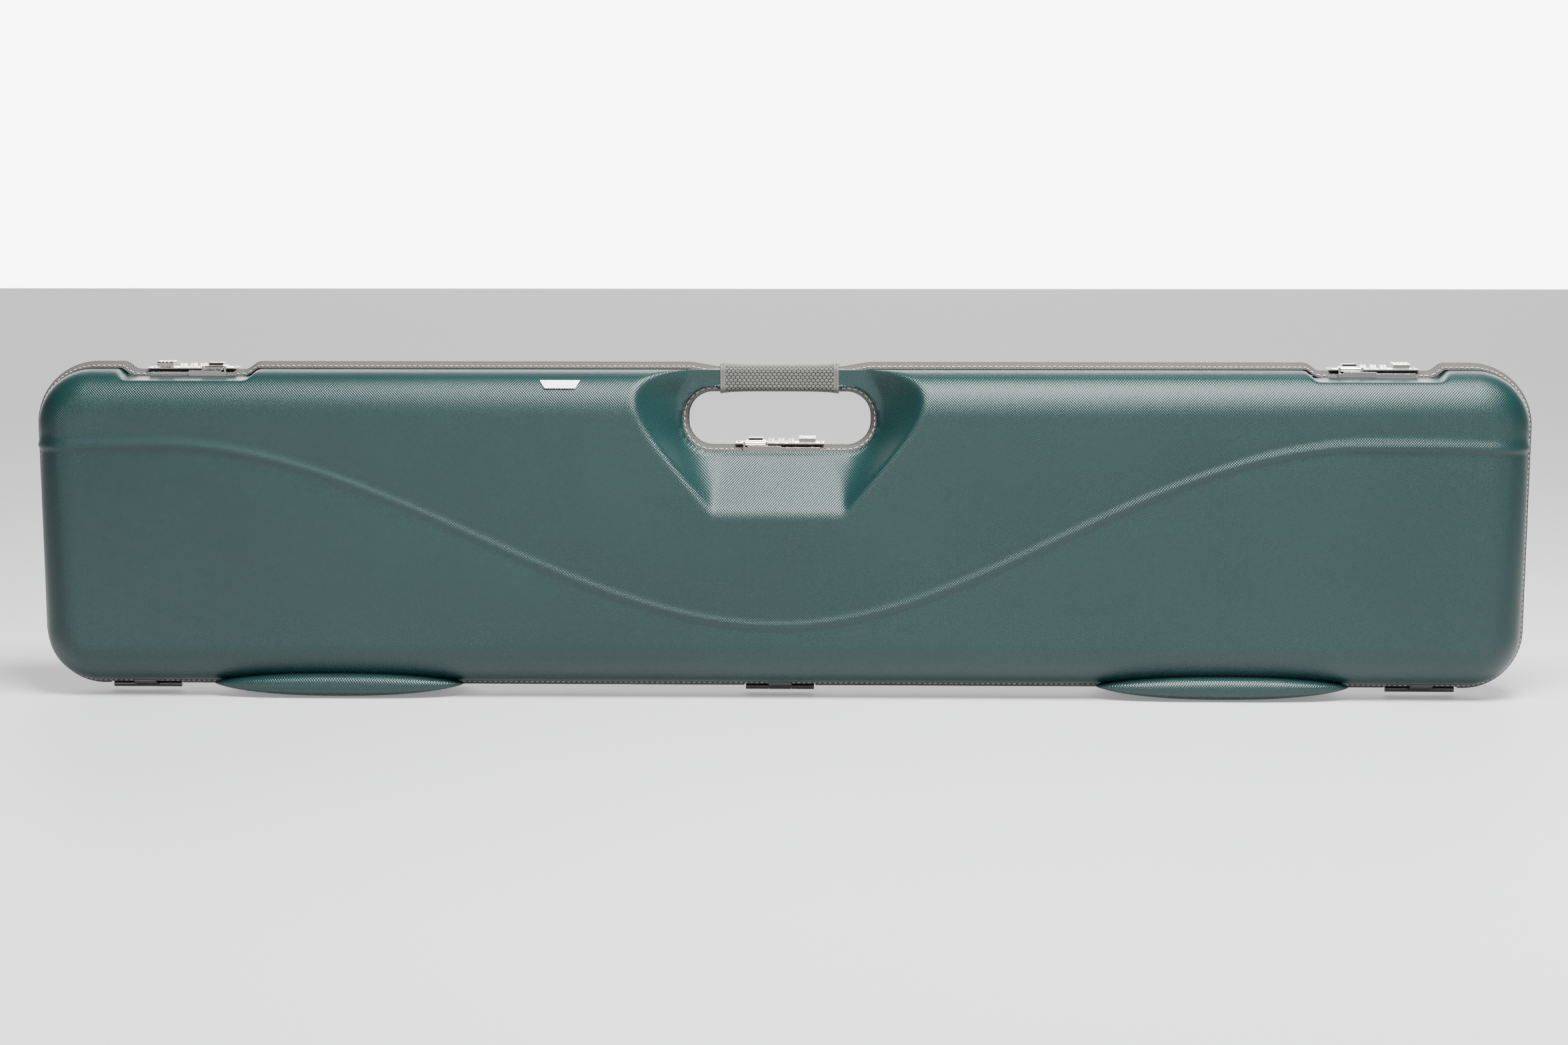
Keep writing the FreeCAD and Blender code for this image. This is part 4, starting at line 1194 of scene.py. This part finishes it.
metal = {
    "edge": 0.28 * mm,                   # widths of the broken edges
    "plateEdge": 0.32 * mm,
    "tagEdge": 0.3 * mm,
    "rivetEdge": 0.5 * mm,
    "leafEdge": 0.15 * mm,
}


def softened(node, name, width, look):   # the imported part's own form with its sharp edges broken
    work = bmesh.new()
    work.from_mesh(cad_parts[node].data)
    bmesh.ops.remove_doubles(work, verts=work.verts, dist=0.004 * mm)
    bmesh.ops.dissolve_limit(work, angle_limit=math.radians(1.5), verts=work.verts, edges=work.edges)
    mesh = bpy.data.meshes.new(name)
    work.to_mesh(mesh)
    work.free()
    obj = addObject(name, mesh)
    bevel = obj.modifiers.new("edges", "BEVEL")
    bevel.width = width
    bevel.segments = 2
    bevel.limit_method = "ANGLE"
    bevel.angle_limit = math.radians(32)
    bevel.use_clamp_overlap = True
    applyModifiers(obj)
    obj.data.polygons.foreach_set("use_smooth", [True] * len(obj.data.polygons))
    weights = obj.modifiers.new("normals", "WEIGHTED_NORMAL")
    weights.weight = 90
    applyModifiers(obj)
    return dress(obj, look)


def paint(look, *nodes):
    for node in nodes:
        dress(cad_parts[node], look)


wheel = {
    "radius": 4.55 * mm,
    "bore": 1.08 * mm,
    "flats": 10,
    "scallop": 0.32 * mm,
    "digitSize": 2.898 * mm,
    "flatDeep": 0.025,                   # how far a flat lies below the rim, as a share of the radius
    "around": 80,
    "digitRaise": 0.07 * mm,
    "start": 3,                          # the digit that shows on the first wheel
}


def flatLevel(turn):                     # the wheel's radius, a little less in the middle of each flat
    return wheel["radius"] * (1 - wheel["flatDeep"] + wheel["flatDeep"] * np.cos(wheel["flats"] * turn))


def makeWheel(node, number):             # ten flats, knurled at both edges, a digit on each flat
    low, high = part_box(node)
    centre = Vector(((low.x + high.x) / 2, (low.y + high.y) / 2, (low.z + high.z) / 2))
    half = (high.x - low.x) / 2
    around = wheel["around"]
    turn = np.linspace(0, 2 * math.pi, around, endpoint=False)
    flat = flatLevel(turn)
    notch = wheel["scallop"] * smoothstep(0.2, 0.9, np.cos(wheel["flats"] * turn * 2))
    rings = [(-half, wheel["bore"], 0), (-half, 3.4 * mm, 0), (-half, 4.0 * mm, 1),
             (-half + 0.3 * mm, None, 1), (-half + 0.9 * mm, None, 1), (-half + 1.1 * mm, None, 0),
             (0, None, 0)]
    rings += [(-x, r, n) for x, r, n in reversed(rings[:-1])]
    rings += [(half, wheel["bore"], 0), (-half, wheel["bore"], 0)]
    points = np.zeros((len(rings), around, 3))
    for i, (x, radius, cut) in enumerate(rings):
        plain, share = (flat, 1) if radius is None else (np.full(around, radius), 0.4)
        r = plain - notch * cut * share
        points[i, :, 0] = centre.x + x
        points[i, :, 1] = centre.y + r * np.sin(turn)
        points[i, :, 2] = centre.z + r * np.cos(turn)
    body = dress(outwards(gridMesh(node + "Ring", points, closedV=True)), "wheel", "red", "dark")
    digits = []
    for k in range(wheel["flats"]):
        data = bpy.data.curves.new("digit", "FONT")
        data.body = str((k + wheel["start"] * number) % 10)
        data.size = wheel["digitSize"]
        data.align_x, data.align_y = "CENTER", "CENTER"
        data.offset = 0.06 * mm
        letter = addObject("digit", data)
        deps = bpy.context.evaluated_depsgraph_get()
        mesh = bpy.data.meshes.new_from_object(letter.evaluated_get(deps))
        bpy.data.objects.remove(letter)
        angle = 2 * math.pi * (k + 0.5) / wheel["flats"]
        work = bmesh.new()
        work.from_mesh(mesh)
        made = bmesh.ops.extrude_face_region(work, geom=work.faces[:])["geom"]
        for vert in [v for v in made if isinstance(v, bmesh.types.BMVert)]:
            vert.co.z += 1
        for vert in work.verts:
            bend = angle + vert.co.y / wheel["radius"]
            level = flatLevel(bend) + (wheel["digitRaise"] if vert.co.z > 0.5 else -0.1 * mm)
            vert.co = Vector((centre.x + vert.co.x, centre.y + level * math.sin(bend),
                              centre.z + level * math.cos(bend)))
        bmesh.ops.recalc_face_normals(work, faces=work.faces)
        work.to_mesh(mesh)
        work.free()
        digits.append(dress(addObject("digit", mesh), "red" if (k + number) % 2 else "dark"))
    return joined(node + "Ring", [body] + digits)


for order, name in enumerate(lockNames):
    for part, body, look, width in (("lock_body", "base", "chrome", metal["plateEdge"]),
                                    ("hasp_bracket", "lid", "chrome", metal["edge"]),
                                    ("hasp", name + "_hasp", "chrome", metal["edge"]),
                                    ("button", name + "_button", "chrome", metal["edge"])):
        node = f"{name}_{part}"
        title = name + "".join(word.capitalize() for word in part.split("_"))
        settle(softened(node, title, width, look), body, "lock_chrome", node)
    paint("chrome", name + "_lock_axle", name + "_bolt", name + "_hasp_pin")
    for number in (1, 2, 3):
        node = f"{name}_wheel_{number}"
        settle(makeWheel(node, number + order * 3), node, "wheel_plastic", node)
rivets = softened("lock_rivets", "lockRivets", metal["rivetEdge"], "chrome")
settle(rivets, "base", "lock_chrome", "lock_rivets")
print("locks made")

settle(softened("name_plate", "namePlate", metal["tagEdge"], "plate"), "lid", "plate_white", "name_plate")
for half in ("lid", "base"):
    node = half + "_hinge_leaves"
    settle(softened(node, half + "HingeLeaves", metal["leafEdge"], "hinge"), half, "hinge_steel", node)
paint("hinge", "hinge_pins")
print("name plate and hinges made")

# floor, light and camera

stageSet = {
    "floor": (0.42, 0.424, 0.43),
    "floorGlow": 0.25,
    "roomLight": ((0.0, 0.045),          # the room's level from in front of the case to behind it
                  (0.32, 0.010), (0.80, 0.006), (0.93, 0.20), (0.965, 1.0)),
    "roomPower": 8.0,
    "softboxes": {                       # place, aim, width, height and power
        "overheadSoftbox": ((0.40, -0.8, 1.9), (0.10, 0, 0.2), 1.3, 0.9, 230),
        "leftSoftbox": ((-1.6, -2.2, 0.5), (-0.4, 0, 0.15), 0.35, 1.2, 26),
        "rightSoftbox": ((1.7, -2.2, 0.5), (0.4, 0, 0.15), 0.35, 1.2, 17),
    },
    "distance": 2.66,
    "azimuth": math.radians(1.6),
    "elevation": math.radians(6.0),
    "lens": 69.7,
    "aimX": 0.0035,
    "aimZ": 0.149,
}


def makeStage():
    bpy.ops.mesh.primitive_plane_add(size=14, location=(0, 5.7, -0.0004))
    floor = bpy.context.object
    floor.name = "studioFloor"
    tree = NodeTree("studioFloorPaint")
    tone = tree.ramp(tree.noise(3, 3, 0.5), [(0.3, tuple(c * 0.985 for c in stageSet["floor"])),
                                             (0.7, stageSet["floor"])])
    tree.links.new(tone, tree.shader.inputs["Base Color"])
    tree.shader.inputs["Roughness"].default_value = 0.6
    tree.shader.inputs["Emission Color"].default_value = (1, 1, 1, 1)
    tree.shader.inputs["Emission Strength"].default_value = stageSet["floorGlow"]
    floor.data.materials.append(tree.material)


def makeWorld():                         # a plain room: dim in front and overhead, bright behind the case
    world = bpy.data.worlds.new("studioWorld")
    bpy.context.scene.world = world
    world.use_nodes = True
    nodes, links = world.node_tree.nodes, world.node_tree.links
    coords = nodes.new("ShaderNodeTexCoord")
    parts = nodes.new("ShaderNodeSeparateXYZ")
    ramp = nodes.new("ShaderNodeValToRGB")
    half = nodes.new("ShaderNodeMapRange")
    half.inputs["From Min"].default_value = -1
    links.new(coords.outputs["Generated"], parts.inputs[0])
    links.new(parts.outputs[1], half.inputs["Value"])
    links.new(half.outputs[0], ramp.inputs[0])
    stops = stageSet["roomLight"]
    while len(ramp.color_ramp.elements) < len(stops):
        ramp.color_ramp.elements.new(0.5)
    for element, (place, level) in zip(ramp.color_ramp.elements, stops):
        element.position = place
        element.color = (level, level, level, 1)
    links.new(ramp.outputs[0], nodes["Background"].inputs["Color"])
    nodes["Background"].inputs["Strength"].default_value = stageSet["roomPower"]


def areaLight(name, place, target, sizeX, sizeY, power):
    data = bpy.data.lights.new(name, "AREA")
    data.shape = "RECTANGLE"
    data.size = sizeX
    data.size_y = sizeY
    data.energy = power
    light = bpy.data.objects.new(name, data)
    light.location = place
    light.rotation_euler = (Vector(target) - Vector(place)).to_track_quat("-Z", "Y").to_euler()
    bpy.context.scene.collection.objects.link(light)


def makeCamera():
    data = bpy.data.cameras.new("viewCamera")
    data.lens = stageSet["lens"]
    data.sensor_width = 36
    camera = bpy.data.objects.new("viewCamera", data)
    aim = Vector((stageSet["aimX"], 0, stageSet["aimZ"]))
    a, e, d = stageSet["azimuth"], stageSet["elevation"], stageSet["distance"]
    away = Vector((math.sin(a) * math.cos(e), -math.cos(a) * math.cos(e), math.sin(e)))
    camera.location = aim + away * d
    camera.rotation_euler = (aim - camera.location).to_track_quat("-Z", "Y").to_euler()
    bpy.context.scene.collection.objects.link(camera)
    bpy.context.scene.camera = camera


makeStage()
makeWorld()
for name, setting in stageSet["softboxes"].items():
    areaLight(name, *setting)
makeCamera()
print("stage, light and camera set")
